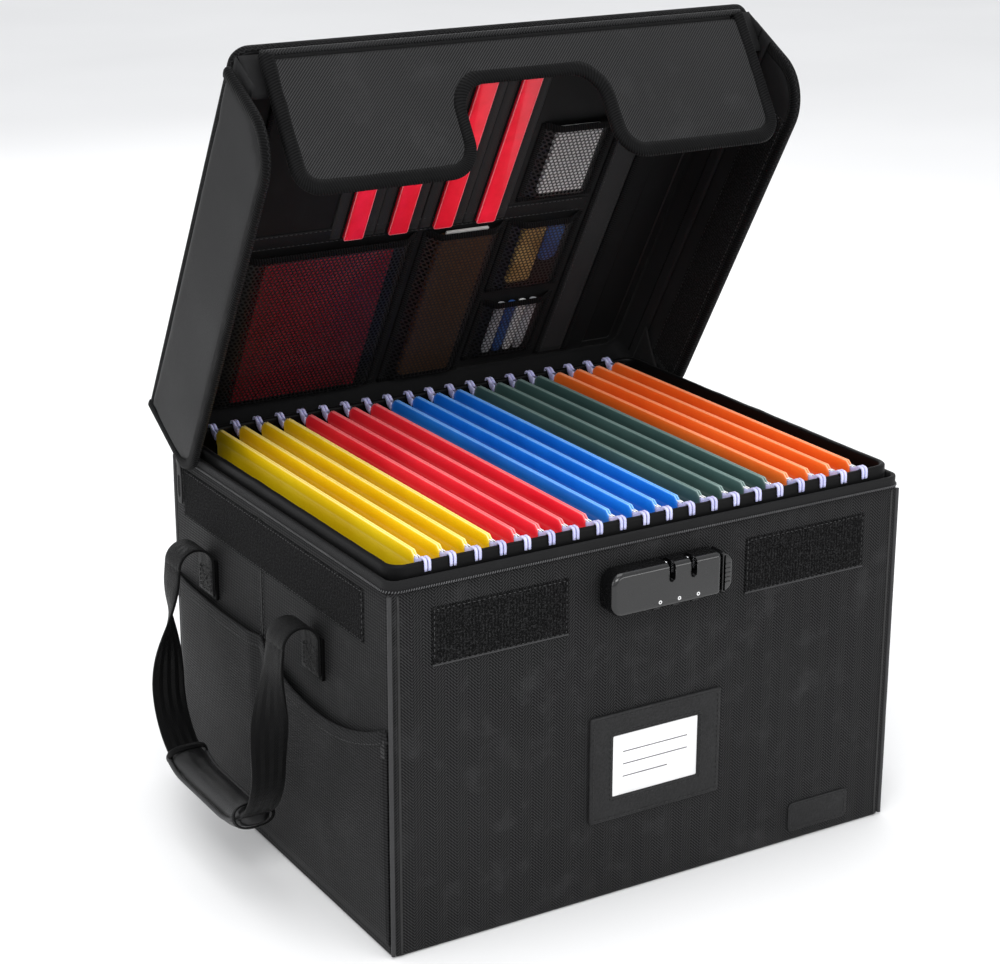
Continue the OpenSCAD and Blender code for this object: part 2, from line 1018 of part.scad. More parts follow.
module folder_set(index) {
    first = index * folders_per_set;
    for (i = [first:first + folders_per_set - 1])
        translate([folder_x(i), 0, 0])
            upright_xz(folder_l / 2, folder_l)
                folder_section();
}

// A rod hook in Y and Z: a leg beside the rim, a bridge over it and a lip outside it.
module hook_outline() {
    rod_end = folder_l / 2 - 3;
    inner = rim_out_y - rim_t - hook_fit;
    outer = rim_out_y + hook_fit / 2;
    low = rim_top - 9;
    bridge = rim_top + 0.15;
    top = bridge + hook_top_t;
    polygon([
        [rod_end, low + 1], [inner, low + 1], [inner, bridge], [outer, bridge],
        [outer, bridge - hook_lip_drop], [outer + hook_lip_t, bridge - hook_lip_drop],
        [outer + hook_lip_t, top - 1], [outer + hook_lip_t - 1, top],
        [inner - 2.4, top], [inner - 3.4, low + 8], [rod_end, low + 8]
    ]);
}

// The rods of one colour set, with a hook at each end.
module hook_set(index) {
    first = index * folders_per_set;
    rod_low = folder_head_top - head_h / 2 - rod_h / 2;
    color("#d9d6f2")
        for (i = [first:first + folders_per_set - 1], side = [-1, 1])
            translate([folder_x(i) + side * head_spread, 0, 0]) {
                slab([-rod_t / 2, -folder_l / 2 - 1, rod_low], [rod_t / 2, folder_l / 2 + 1, rod_low + rod_h]);
                for (end = [0, 1])
                    mirror([0, end, 0])
                        intersection() {
                            upright_yz(-hook_plate_t / 2, hook_plate_t)
                                hook_outline();
                            slab([-5, folder_l / 2 + 0.2, 0], [5, case_d, 2 * case_h]);
                        }
            }
}

module folders_yellow() {
    color("#f2c400")
        folder_set(0);
}

module folders_red() {
    color("#e8192c")
        folder_set(1);
}

module folders_blue() {
    color("#0a6fdd")
        folder_set(2);
}

module folders_green() {
    color("#2f4843")
        folder_set(3);
}

module folders_orange() {
    color("#ff6a28")
        folder_set(4);
}

module hooks_yellow() {
    hook_set(0);
}

module hooks_red() {
    hook_set(1);
}

module hooks_blue() {
    hook_set(2);
}

module hooks_green() {
    hook_set(3);
}

module hooks_orange() {
    hook_set(4);
}

// ---------------------------------------------------------------- nodes

outer_shell();
bottom_cloth();
base_board();
front_board();
back_board();
left_boards();
right_boards();
inner_liner();
rim_collar();
hanging_rails();
body_zipper();
corner_piping();
front_loop_patches();
side_loop_strips();
side_pockets();
handle_tabs();
label_holder();
label_card();
corner_patch();
lock_backplate();
lock_housing();
dial_spindle();
dial_left();
dial_middle();
dial_right();
lock_release();
zipper_slider_left();
zipper_slider_right();
zipper_pull_left();
zipper_pull_right();
lid_cover();
lid_board();
lid_lining();
lid_zipper_skirt();
organiser_panel();
mesh_pockets();
red_pens();
notebook();
pocket_items();
front_zipper_skirt();
front_flap();
front_flap_hooks();
left_flap();
left_flap_hooks();
right_flap();
right_flap_hooks();
left_handle_strap();
left_handle_grip();
right_handle_strap();
right_handle_grip();
folders_yellow();
folders_red();
folders_blue();
folders_green();
folders_orange();
hooks_yellow();
hooks_red();
hooks_blue();
hooks_green();
hooks_orange();
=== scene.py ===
import json
import math
import random

import bmesh
import bpy
from mathutils import Matrix, Vector, noise


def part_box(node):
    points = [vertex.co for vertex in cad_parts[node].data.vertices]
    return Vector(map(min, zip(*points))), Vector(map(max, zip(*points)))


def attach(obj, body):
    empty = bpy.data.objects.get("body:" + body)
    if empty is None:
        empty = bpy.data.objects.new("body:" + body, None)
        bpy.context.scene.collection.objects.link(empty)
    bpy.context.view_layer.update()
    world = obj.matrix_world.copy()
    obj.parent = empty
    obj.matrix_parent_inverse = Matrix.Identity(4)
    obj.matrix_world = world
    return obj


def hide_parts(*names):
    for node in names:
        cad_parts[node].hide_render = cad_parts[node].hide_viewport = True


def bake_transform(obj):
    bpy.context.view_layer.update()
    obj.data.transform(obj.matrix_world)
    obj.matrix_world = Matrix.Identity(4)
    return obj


# Lengths are in metres, so 2.5e-3 is 2.5 mm.
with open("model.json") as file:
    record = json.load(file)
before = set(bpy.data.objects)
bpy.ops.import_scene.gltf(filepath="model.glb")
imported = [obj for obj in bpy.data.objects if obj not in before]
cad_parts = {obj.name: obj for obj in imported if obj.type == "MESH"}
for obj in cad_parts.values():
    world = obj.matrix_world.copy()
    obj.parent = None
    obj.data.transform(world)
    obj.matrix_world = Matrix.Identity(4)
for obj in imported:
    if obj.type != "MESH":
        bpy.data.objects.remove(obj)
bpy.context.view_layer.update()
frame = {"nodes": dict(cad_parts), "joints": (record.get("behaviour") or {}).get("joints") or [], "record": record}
joints = {j["name"]: j for j in frame["joints"]}
rng = random.Random(7)
PI = math.pi
X, Y, Z = Vector((1, 0, 0)), Vector((0, 1, 0)), Vector((0, 0, 1))
HERE = Matrix.Identity(4)
SIDES = ((-1, "left"), (1, "right"))


# ------------------------------------------------------------ frames and sizes

def about(point, angle, axis):
    """A rotation about an axis through a point."""
    return Matrix.Translation(point) @ Matrix.Rotation(angle, 4, axis) @ Matrix.Translation(-Vector(point))


HINGE = Vector(joints["lid_hinge"]["pos_m"])
LID_OPEN = -math.radians(joints["lid_hinge"]["range_deg"][0])
ON_LID = about(HINGE, -LID_OPEN, "X")
DROOP = LID_OPEN * frame["record"]["behaviour"]["couplings"][0]["ratio"]
FOLD_SHUT = ON_LID.inverted() @ Vector(joints["front_fold"]["pos_m"])
ON_FOLD = ON_LID @ about(FOLD_SHUT, DROOP, "X")


def points_box(points):
    return (Vector([min(p[i] for p in points) for i in range(3)]),
            Vector([max(p[i] for p in points) for i in range(3)]))


def node_points(node, place=HERE):
    """A CAD node's vertices measured in the frame of place, such as the shut lid's."""
    back = place.inverted()
    return [back @ v.co for v in frame["nodes"][node].data.vertices]


def shut_box(node, place=ON_LID):
    return points_box(node_points(node, place))


def box(node):
    low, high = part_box(node)
    return Vector(low), Vector(high)


CASE_X, CASE_Y, CASE_H = box("outer_shell")[1]
RIM = box("rim_collar")[1]
CREASE_Y = joints["left_handle_swing"]["pos_m"][1]


# ------------------------------------------------------------ materials

class Term:
    """A node's output, so that sums and products of outputs read as such."""

    def __init__(self, graph, socket):
        self.graph, self.socket = graph, socket

    def __add__(self, other):
        return self.graph.math("ADD", self, other)

    def __sub__(self, other):
        return self.graph.math("SUBTRACT", self, other)

    def __mul__(self, other):
        return self.graph.math("MULTIPLY", self, other)


class Graph:
    """A small builder for a Principled material's nodes."""

    def __init__(self, name):
        self.mat = bpy.data.materials.new(name)
        self.mat.use_nodes = True
        self.tree = self.mat.node_tree
        self.coords = self.tree.nodes.new("ShaderNodeTexCoord")

    def put(self, socket, value):
        if isinstance(value, Term):
            self.tree.links.new(value.socket, socket)
        else:
            socket.default_value = (*value, 1.0) if socket.type == "RGBA" else value

    def node(self, kind, out, inputs, **settings):
        """Adds a node, fills its inputs and gives one output, or all of them if out is None."""
        n = self.tree.nodes.new(kind)
        for k, v in settings.items():
            setattr(n, k, v)
        for k, v in inputs.items():
            self.put(n.inputs[k], v)
        return [Term(self, o) for o in n.outputs] if out is None else Term(self, n.outputs[out])

    def coord(self, which="Object"):
        return Term(self, self.coords.outputs[which])

    def math(self, op, a, b=0.0):
        return self.node("ShaderNodeMath", 0, {0: a, 1: b}, operation=op)

    def mix(self, t, a, b):
        return self.node("ShaderNodeMix", 2, {0: t, 6: a, 7: b}, data_type="RGBA")

    def pick(self, t, a, b):
        return self.node("ShaderNodeMix", 0, {0: t, 2: a, 3: b}, data_type="FLOAT")

    def ramp(self, value, low, high, out_low=0.0, out_high=1.0):
        return self.node("ShaderNodeMapRange", 0, {0: value, 1: low, 2: high, 3: out_low, 4: out_high})

    def noise(self, scale, detail=3.0, rough=0.55, vector=None):
        return self.node("ShaderNodeTexNoise", 0, {"Vector": vector or self.coord(), "Scale": scale,
                                                   "Detail": detail, "Roughness": rough})

    def xyz(self, vector):
        return self.node("ShaderNodeSeparateXYZ", None, {0: vector})

    def box_uv(self):
        """Flat coordinates in metres on whichever way the surface faces."""
        x, y, z = self.xyz(self.coord())
        nx, ny, nz = [self.math("ABSOLUTE", v) for v in self.xyz(self.coord("Normal"))]
        is_x = self.math("GREATER_THAN", nx, self.math("MAXIMUM", ny, nz))
        is_z = self.math("GREATER_THAN", nz, self.math("MAXIMUM", nx, ny))
        return self.pick(is_x, x, y), self.pick(is_z, z, y)

    def wave(self, x, period):
        return self.math("SINE", x * (2 * PI / period))

    def finish(self, colour, rough, height=None, strength=0.5, distance=0.4e-3, **fixed):
        inputs = self.tree.nodes["Principled BSDF"].inputs
        self.put(inputs["Base Color"], colour)
        self.put(inputs["Roughness"], rough)
        if height is not None:
            bump = {"Strength": strength, "Distance": distance, "Height": height}
            self.put(inputs["Normal"], self.node("ShaderNodeBump", 0, bump))
        for k, v in fixed.items():
            inputs[k.replace("_", " ")].default_value = v
        return self.mat


def cloth(name, dark, light, weave, period=1.5e-3, rough=0.6, strength=0.6, wear=0.2, spec=0.1):
    """Coated cloth. weave is herringbone, twill, rib, plain or smooth."""
    g = Graph(name)
    u, v = g.box_uv()
    if weave == "herringbone":
        threads = g.wave(v + g.math("PINGPONG", u, 8e-3), period) + g.wave(u, period) * 0.35
    elif weave == "twill":
        threads = g.wave(u - v, period) + g.wave(u + v, period * 0.8) * 0.3
    elif weave == "rib":
        threads = g.wave(v, period) + g.wave(u, period * 1.3) * 0.45
    elif weave == "plain":
        threads = g.wave(u, period) * g.wave(v, period)
    else:
        threads = g.wave(u + v, period) * 0.3
    patchy = g.noise(9.0)
    height = threads + g.noise(900.0, 2.0) * 0.8
    colour = g.mix(g.ramp(threads + patchy * 0.9, -0.5, 1.8), dark, light)
    dusty = g.ramp(g.noise(38.0, 5.0, 0.65), 0.52, 0.8, 0.0, wear)
    colour = g.mix(dusty, colour, tuple(min(1.0, c * 2.1 + 0.006) for c in light))
    roughness = g.ramp(patchy + threads * 0.12, 0.2, 0.8, rough - 0.08, rough + 0.1)
    return g.finish(colour, roughness, height, strength, 0.22e-3, Sheen_Weight=0.02, Sheen_Roughness=0.4,
                    Specular_IOR_Level=spec)


def ribbon_cloth(name, dark, light, period, zigzag=None, rough=0.62, chevron=False, strength=0.7, spec=0.16):
    """Woven ribbon or webbing, with its pattern along the piece's own length. zigzag is a seam's
    (place across, swing, pitch)."""
    g = Graph(name)
    u, v, _ = g.xyz(g.coord("UV"))
    threads = g.wave(u + (g.math("PINGPONG", v, 3.1e-3) if chevron else v * 0.35), period)
    height = threads + g.noise(1100.0, 2.0) * 0.9
    colour = g.mix(g.ramp(threads + g.noise(20.0) * 1.4, -0.7, 1.9), dark, light)
    if zigzag:
        mid, swing, pitch = zigzag
        swerve = (g.math("PINGPONG", u, pitch / 2) - pitch / 4) * swing
        thread = g.math("LESS_THAN", g.math("ABSOLUTE", v - (swerve + mid)), 0.38e-3)
        colour = g.mix(thread, colour, tuple(c * 1.9 + 0.004 for c in light))
        height = height + thread * 1.8
    roughness = g.ramp(g.noise(60.0), 0.3, 0.7, rough - 0.07, rough + 0.1)
    return g.finish(colour, roughness, height, strength, 0.3e-3, Sheen_Weight=0.02, Sheen_Roughness=0.4,
                    Specular_IOR_Level=spec)


def pile_cloth(name):
    """Hook-and-loop pile: matted, in faint rows."""
    g = Graph(name)
    rows = g.wave(g.box_uv()[0] + g.noise(260.0) * 1.2e-3, 2.3e-3)
    curls = g.noise(820.0, 4.0, 0.75)
    tone = g.ramp(curls + rows * 0.03, 0.47, 0.72)
    colour = g.mix(tone, (0.0008, 0.0008, 0.0009), (0.034, 0.034, 0.035))
    return g.finish(colour, 0.92, curls * 3.2 + rows * 0.35, 1.0, 0.5e-3, Specular_IOR_Level=0.1)


def leatherette(name, dark, light, rough=0.45, cell=650.0):
    """Coated cloth pressed with a fine cell grain."""
    g = Graph(name)
    cells = g.node("ShaderNodeTexVoronoi", "Distance", {"Scale": cell, "Vector": g.coord()}, feature="F1")
    grain = cells + g.noise(420.0, 4.0) * 0.8
    colour = g.mix(g.ramp(grain, 0.3, 1.3), dark, light)
    roughness = g.ramp(g.noise(70.0, 4.0), 0.3, 0.7, rough - 0.1, rough + 0.12)
    return g.finish(colour, roughness, grain, 0.45, 0.25e-3, Specular_IOR_Level=0.2)


def plastic(name, dark, light, rough, grain=1400.0, bump=0.12, **fixed):
    """Moulded plastic or enamel with a faint texture, handling marks and a little unevenness."""
    g = Graph(name)
    colour = g.mix(g.ramp(g.noise(45.0, 4.0), 0.3, 0.72), dark, light)
    roughness = g.ramp(g.noise(320.0, 5.0, 0.7), 0.3, 0.75, rough - 0.05, rough + 0.12)
    return g.finish(colour, roughness, g.noise(grain, 2.0), bump, 0.15e-3, **fixed)


def card(name, deep, full, rough=0.5):
    """Coloured folder card: fine fibres, slight cloudiness, and a painted highlight that makes it paler on folds
    and sharp edges.
    """
    g = Graph(name)
    fibre = g.noise(1300.0, 3.0, 0.6)
    cloud = g.noise(16.0, 4.0)
    colour = g.mix(g.ramp(fibre * 0.35 + cloud, 0.35, 1.0), deep, full)
    # painted highlight: convex folds and edges are mixed towards a paler colour
    edge_highlight = g.ramp(g.node("ShaderNodeNewGeometry", "Pointiness", {}), 0.52, 0.62, 0.0, 0.55)
    colour = g.mix(edge_highlight, colour, tuple(min(1.0, c * 0.75 + 0.22) for c in full))
    return g.finish(colour, g.ramp(cloud, 0.3, 0.7, rough - 0.05, rough + 0.08), fibre, 0.2, 0.1e-3,
                    Specular_IOR_Level=0.35)


def pages(name):
    """The edges of a stack of pages."""
    g = Graph(name)
    lines = g.wave(g.xyz(g.coord())[2] + g.noise(90.0) * 0.2e-3, 0.7e-3)
    colour = g.mix(g.ramp(lines, -1.0, 1.0), (0.42, 0.41, 0.4), (0.86, 0.85, 0.83))
    return g.finish(colour, 0.75, lines, 0.5, 0.2e-3)


def metal(name, dark, light, rough, stretch=(1.0, 30.0, 1.0)):
    """Drawn metal, with streaks along its stretched axis."""
    g = Graph(name)
    drawn = g.node("ShaderNodeMapping", 0, {"Scale": stretch, "Vector": g.coord()})
    streaks = g.noise(260.0, 4.0, 0.6, drawn)
    colour = g.mix(g.ramp(streaks, 0.3, 0.7), dark, light)
    roughness = g.ramp(streaks, 0.3, 0.7, rough - 0.06, rough + 0.1)
    return g.finish(colour, roughness, streaks, 0.15, 0.1e-3, Metallic=1.0)


def grey(level, blue):
    """A grey that leans to blue."""
    return (level, level, blue)


M_FRONT = cloth("case_weave", grey(0.0004, 0.0005), grey(0.029, 0.0298), "herringbone", 2.2e-3, spec=0.08)
M_SIDE = cloth("side_weave", grey(0.0012, 0.0014), grey(0.017, 0.0176), "rib", 2.1e-3)
M_FLAP = cloth("flap_weave", grey(0.0008, 0.0009), grey(0.036, 0.037), "twill", 2.2e-3, 0.5, 0.8, 0.1, 0.1)
M_WING = cloth("side_flap_cloth", grey(0.005, 0.0053), grey(0.012, 0.0124), "smooth", 1.1e-3, 0.5, 0.4, 0.08,
               0.12)
M_LINING = cloth("lining_weave", grey(0.0034, 0.0036), grey(0.0095, 0.01), "smooth", 0.9e-3, 0.58, 0.25, 0.15)
M_PANEL = cloth("panel_cloth", grey(0.012, 0.0124), grey(0.025, 0.0256), "smooth", 0.9e-3, 0.5, 0.3, 0.1)
M_TAB = cloth("tab_cloth", grey(0.0008, 0.0009), grey(0.0024, 0.0025), "rib", 1.3e-3, 0.55, 0.3, 0.02, 0.05)
M_RIM = cloth("rim_cloth", grey(0.0012, 0.0013), grey(0.0032, 0.0034), "smooth", 0.9e-3, 0.45, 0.25, 0.05)
M_TAPE = cloth("zip_tape", grey(0.0055, 0.0058), grey(0.0135, 0.014), "plain", 0.9e-3, 0.55, 0.4, 0.08)
M_PIPING = ribbon_cloth("piping", grey(0.018, 0.019), grey(0.046, 0.047), 0.9e-3, rough=0.4, strength=0.35)
M_BINDING = ribbon_cloth("binding", grey(0.0003, 0.0004), grey(0.0052, 0.0055), 2.0e-3, (9.0e-3, 0.9, 4.2e-3),
                         spec=0.06)
M_WEB = ribbon_cloth("webbing", grey(0.0006, 0.0007), grey(0.0036, 0.0038), 1.2e-3, chevron=True, rough=0.45,
                     spec=0.09)
M_GRIP = cloth("grip_cloth", grey(0.0018, 0.002), grey(0.0052, 0.0055), "plain", 0.8e-3, 0.3, 0.3, 0.1, 0.4)
M_THREAD = plastic("thread", grey(0.01, 0.0105), grey(0.022, 0.023), 0.5)
# dark cord and thread; its cord inside the lid's bound edge is painted shade in the groove
M_GROOVE = plastic("groove_cord", grey(0.0014, 0.0015), grey(0.0026, 0.0028), 0.6)
M_PILE = pile_cloth("hook_and_loop")
M_LEATHER = leatherette("leatherette", grey(0.0035, 0.0038), grey(0.0135, 0.014))
M_NOTEBOOK = leatherette("notebook_cover", (0.075, 0.004, 0.007), (0.17, 0.009, 0.015), 0.5, 900.0)
M_WALLET = leatherette("wallet_cover", (0.045, 0.022, 0.011), (0.115, 0.058, 0.028), 0.5, 700.0)
M_PAGES = pages("page_edges")
M_COIL = plastic("zip_coil", grey(0.035, 0.037), grey(0.08, 0.083), 0.35)
M_LOCK = plastic("lock_gloss", grey(0.0016, 0.0018), grey(0.003, 0.0032), 0.2, bump=0.02, Coat_Weight=0.35,
                 Coat_Roughness=0.1, Specular_IOR_Level=0.4)
M_LOCK_MATT = plastic("lock_matt", grey(0.002, 0.0022), grey(0.006, 0.0063), 0.42)
M_MARK = plastic("white_mark", grey(0.62, 0.62), grey(0.86, 0.86), 0.4)
M_STEEL = metal("steel", grey(0.34, 0.35), grey(0.6, 0.61), 0.3)
M_CHROME = metal("bright_rim", grey(0.5, 0.52), grey(0.82, 0.84), 0.18, (1.0, 1.0, 1.0))
M_ENAMEL = plastic("slider_enamel", grey(0.002, 0.0022), grey(0.006, 0.0063), 0.45, Specular_IOR_Level=0.25)
M_HOOK = plastic("hook_plastic", (0.40, 0.38, 0.62), (0.60, 0.58, 0.84), 0.32, Subsurface_Weight=0.1)
M_WHITE = card("white_card", grey(0.66, 0.66), grey(0.86, 0.86))
M_INK = plastic("ruled_line", grey(0.1, 0.11), grey(0.16, 0.17), 0.6)
M_RED = plastic("pen_red", (0.74, 0.006, 0.022), (0.95, 0.014, 0.045), 0.35)
# pale pink for a cord round each pen's rim: a painted highlight
M_PEN_RIM_HIGHLIGHT = plastic("pen_edge", (0.88, 0.16, 0.20), (0.95, 0.26, 0.30), 0.3)
M_BOARD = card("fibre_board", (0.20, 0.155, 0.105), (0.36, 0.29, 0.20), 0.8)
M_GOLD = plastic("item_gold", (0.28, 0.17, 0.05), (0.62, 0.42, 0.16), 0.35)
M_BLUE = plastic("item_blue", (0.02, 0.06, 0.20), (0.05, 0.14, 0.42), 0.4)
M_GREY = plastic("item_grey", (0.30, 0.31, 0.33), (0.70, 0.71, 0.74), 0.35)
M_NET = plastic("net_thread", grey(0.0012, 0.0013), grey(0.0045, 0.0048), 0.5, 900.0, 0.4)
CARDS, CARD_CREST_HIGHLIGHTS = {}, {}
# the last two colours of each row are paler: a painted highlight for the crest of each card's fold
for colour, deep, full, deep_highlight, full_highlight in (
        ("yellow", (0.86, 0.52, 0.0), (1.0, 0.71, 0.004), (0.95, 0.72, 0.10), (1.0, 0.84, 0.26)),
        ("red", (0.80, 0.010, 0.030), (1.0, 0.032, 0.052), (0.95, 0.10, 0.12), (1.0, 0.20, 0.21)),
        ("blue", (0.002, 0.125, 0.60), (0.008, 0.25, 0.90), (0.08, 0.34, 0.86), (0.17, 0.47, 1.0)),
        ("green", (0.034, 0.074, 0.070), (0.064, 0.132, 0.122), (0.09, 0.16, 0.15), (0.16, 0.26, 0.24)),
        ("orange", (0.90, 0.115, 0.010), (1.0, 0.21, 0.026), (1.0, 0.25, 0.08), (1.0, 0.38, 0.16))):
    CARDS[colour] = card("card_" + colour, deep, full)
    CARD_CREST_HIGHLIGHTS[colour] = card("edge_" + colour, deep_highlight, full_highlight)


# ------------------------------------------------------------ mesh helpers

def make(name, verts, faces, mat, place=HERE, uvs=None, tidy=True):
    """A smooth object from lists, in the frame of place. uvs is one list of pairs per face."""
    me = bpy.data.meshes.new(name)
    me.from_pydata([tuple(v) for v in verts], [], [tuple(f) for f in faces])
    if uvs:
        layer = me.uv_layers.new(name="uv")
        for loop, pair in zip(layer.data, [pair for pairs in uvs for pair in pairs]):
            loop.uv = pair
    if tidy:
        bm = bmesh.new()
        bm.from_mesh(me)
        bmesh.ops.recalc_face_normals(bm, faces=bm.faces)
        bm.to_mesh(me)
        bm.free()
    for one in mat if isinstance(mat, (list, tuple)) else [mat]:
        me.materials.append(one)
    return smooth_all(add_object(name, me, place))


def add_object(name, data, place):
    ob = bpy.data.objects.new(name, data)
    bpy.context.scene.collection.objects.link(ob)
    ob.matrix_world = place
    return ob


def settle(ob, body, replaces=(), name=None, place=None, angle=None, smooth=False):
    """Finishes a piece, or joins a list into one: its name, place, shading, body and CAD nodes."""
    if isinstance(ob, list):
        ob = join(ob, name)
    elif name:
        ob.name = name
    if place is not None:
        ob.matrix_world = place
    if angle:
        sharpen(ob, angle)
    if smooth:
        smooth_all(ob)
    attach(ob, body)
    if replaces:
        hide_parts(*replaces)
    return ob


def bake_modifiers(ob):
    """Applies an object's modifiers to its mesh."""
    graph = bpy.context.evaluated_depsgraph_get()
    graph.update()
    me = bpy.data.meshes.new_from_object(ob.evaluated_get(graph), depsgraph=graph)
    old = ob.data
    ob.modifiers.clear()
    ob.data = me
    bpy.data.meshes.remove(old)
    return ob


def modify(ob, kind, **settings):
    m = ob.modifiers.new(kind.lower(), kind)
    for k, v in settings.items():
        setattr(m, k, v)
    return bake_modifiers(ob)


def cut(ob, cutter):
    modify(ob, "BOOLEAN", operation="DIFFERENCE", solver="EXACT", object=cutter)
    bpy.data.objects.remove(cutter)


def smooth_all(ob):
    ob.data.polygons.foreach_set("use_smooth", [True] * len(ob.data.polygons))
    return ob


def sharpen(ob, angle):
    """Smooth shading that keeps edges sharper than an angle."""
    bm = bmesh.new()
    bm.from_mesh(ob.data)
    limit = math.radians(angle)
    for e in bm.edges:
        e.smooth = len(e.link_faces) == 2 and e.calc_face_angle(0.0) < limit
    for f in bm.faces:
        f.smooth = True
    bm.to_mesh(ob.data)
    bm.free()
    return ob


def join(obs, name):
    """One object from several that share a place, with their materials kept."""
    bm = bmesh.new()
    mats = []
    bm.loops.layers.uv.new("uv")
    for ob in obs:
        first = len(bm.faces)
        index = []
        for m in ob.data.materials:
            if m not in mats:
                mats.append(m)
            index.append(mats.index(m))
        if not ob.data.uv_layers:
            ob.data.uv_layers.new(name="uv")
        bm.from_mesh(ob.data)
        bm.faces.ensure_lookup_table()
        for f in bm.faces[first:]:
            f.material_index = index[f.material_index] if index else 0
    place = obs[0].matrix_world.copy()
    me = bpy.data.meshes.new(name)
    bm.to_mesh(me)
    bm.free()
    for m in mats:
        me.materials.append(m)
    for ob in obs:
        bpy.data.objects.remove(ob)
    return add_object(name, me, place)


def quads(rows, row, closed=True, base=0):
    """Faces between rows of points, which close into rings unless told otherwise."""
    return [(base + i * row + j, base + i * row + (j + 1) % row,
             base + (i + 1) * row + (j + 1) % row, base + (i + 1) * row + j)
            for i in range(rows - 1) for j in range(row if closed else row - 1)]


def add_bead(verts, faces, rings):
    """Adds a small closed form from a few rings of points."""
    base, n = len(verts), len(rings[0])
    last = base + (len(rings) - 1) * n
    for ring in rings:
        verts += ring
    faces += quads(len(rings), n, True, base)
    faces += [tuple(range(base + n - 1, base - 1, -1)), tuple(range(last, last + n))]


def grid(name, nu, nv, point, mat, thickness=None, offset=0.0):
    """A sheet of point(i, j) over nu by nv cells, thickened if asked. Also gives its points."""
    verts = [point(i, j) for j in range(nv + 1) for i in range(nu + 1)]
    ob = make(name, verts, quads(nv + 1, nu + 1, False), mat)
    if thickness:
        modify(ob, "SOLIDIFY", thickness=thickness, offset=offset)
    return ob, verts


def sweep(name, frames, profile, mat, closed=False, shape=None, place=HERE):
    """A closed profile of (a, b) pairs carried along frames of (point, a-axis, b-axis).
    shape(i, a, b) may change the profile along the way."""
    rings = []
    for i, (p, ax, bx) in enumerate(frames):
        ring = [shape(i, a, b) if shape else (a, b) for a, b in profile]
        rings.append([p + ax * a + bx * b for a, b in ring])
    n, count = len(profile), len(frames)
    across, along = [0.0], [0.0]
    for j in range(n):
        across.append(across[-1] + (Vector(profile[(j + 1) % n]) - Vector(profile[j])).length)
    for i in range(count):
        along.append(along[-1] + (frames[(i + 1) % count][0] - frames[i][0]).length)
    faces, uvs = [], []
    for i in range(count if closed else count - 1):
        k = (i + 1) % count
        for j in range(n):
            q = (j + 1) % n
            faces.append((i * n + j, i * n + q, k * n + q, k * n + j))
            uvs.append([(along[i], across[j]), (along[i], across[j + 1]),
                        (along[i + 1], across[j + 1]), (along[i + 1], across[j])])
    if not closed:
        faces += [tuple(range(n)), tuple(range(count * n - 1, (count - 1) * n - 1, -1))]
        uvs += [[(0.0, 0.0)] * n] * 2
    return make(name, [p for r in rings for p in r], faces, mat, place, uvs)


def line(a, b, steps, ax=X, bx=Z):
    """Frames at even steps along a straight line."""
    return [(a.lerp(b, i / steps), ax, bx) for i in range(steps + 1)]


def around(path, z=0.0, inset=0.0):
    """Frames round a closed flat outline, with the first axis outwards and the second up."""
    return [(Vector((p[0] - n.x * inset, p[1] - n.y * inset, z)), Vector((n.x, n.y, 0)), Z)
            for p, n in zip(path, outward(path))]


def signed_power(x, power):
    return math.copysign(abs(x) ** power, x)


def oval(a, b, n=12, a0=0.0, power=1.0):
    """A closed oval profile; power below 1 squares it off."""
    angles = [2 * PI * i / n for i in range(n)]
    return [(a0 + a * signed_power(math.cos(t), power), b * signed_power(math.sin(t), power)) for t in angles]


def arc_points(cx, cy, r, a0, a1, steps):
    angles = [math.radians(a0 + (a1 - a0) * i / steps) for i in range(steps + 1)]
    return [(cx + r * math.cos(a), cy + r * math.sin(a)) for a in angles]


def rounded_rect(w, d, r, corner=7, side=1, cx=0.0, cy=0.0):
    """Points round a rounded rectangle, counter-clockwise from the right end of its lower side."""
    signs = ((1, -1), (1, 1), (-1, 1), (-1, -1))
    arcs = [arc_points(cx + sx * (w / 2 - r), cy + sy * (d / 2 - r), r, -90 + 90 * k, 90 * k, corner)
            for k, (sx, sy) in enumerate(signs)]
    out = []
    for k, arc in enumerate(arcs):
        a, b = arc[-1], arcs[(k + 1) % 4][0]
        out += arc
        out += [(a[0] + (b[0] - a[0]) * i / side, a[1] + (b[1] - a[1]) * i / side) for i in range(1, side)]
    return out


def outward(points, closed=True):
    """A unit normal at each point of a counter-clockwise outline, pointing out of it."""
    out = []
    n = len(points)
    for i in range(n):
        a = points[i - 1] if closed or i else points[i]
        b = points[(i + 1) % n] if closed or i < n - 1 else points[i]
        t = Vector((b[0] - a[0], b[1] - a[1])).normalized()
        out.append(Vector((t.y, -t.x)))
    return out


def length_of(points):
    return sum((b - a).length for a, b in zip(points, points[1:]))


def resample(points, step, closed=False):
    """Evenly spaced points along a polyline."""
    pts = [Vector(p) for p in points]
    if closed:
        pts.append(pts[0].copy())
    total = length_of(pts)
    count = max(2, round(total / step))
    out, i, run = [], 0, 0.0
    for k in range(count if closed else count + 1):
        want = total * k / count
        while i < len(pts) - 2 and run + (pts[i + 1] - pts[i]).length < want - 1e-12:
            run += (pts[i + 1] - pts[i]).length
            i += 1
        seg = (pts[i + 1] - pts[i]).length
        t = 0.0 if seg < 1e-12 else min(1.0, (want - run) / seg)
        out.append(pts[i].lerp(pts[i + 1], t))
    return out


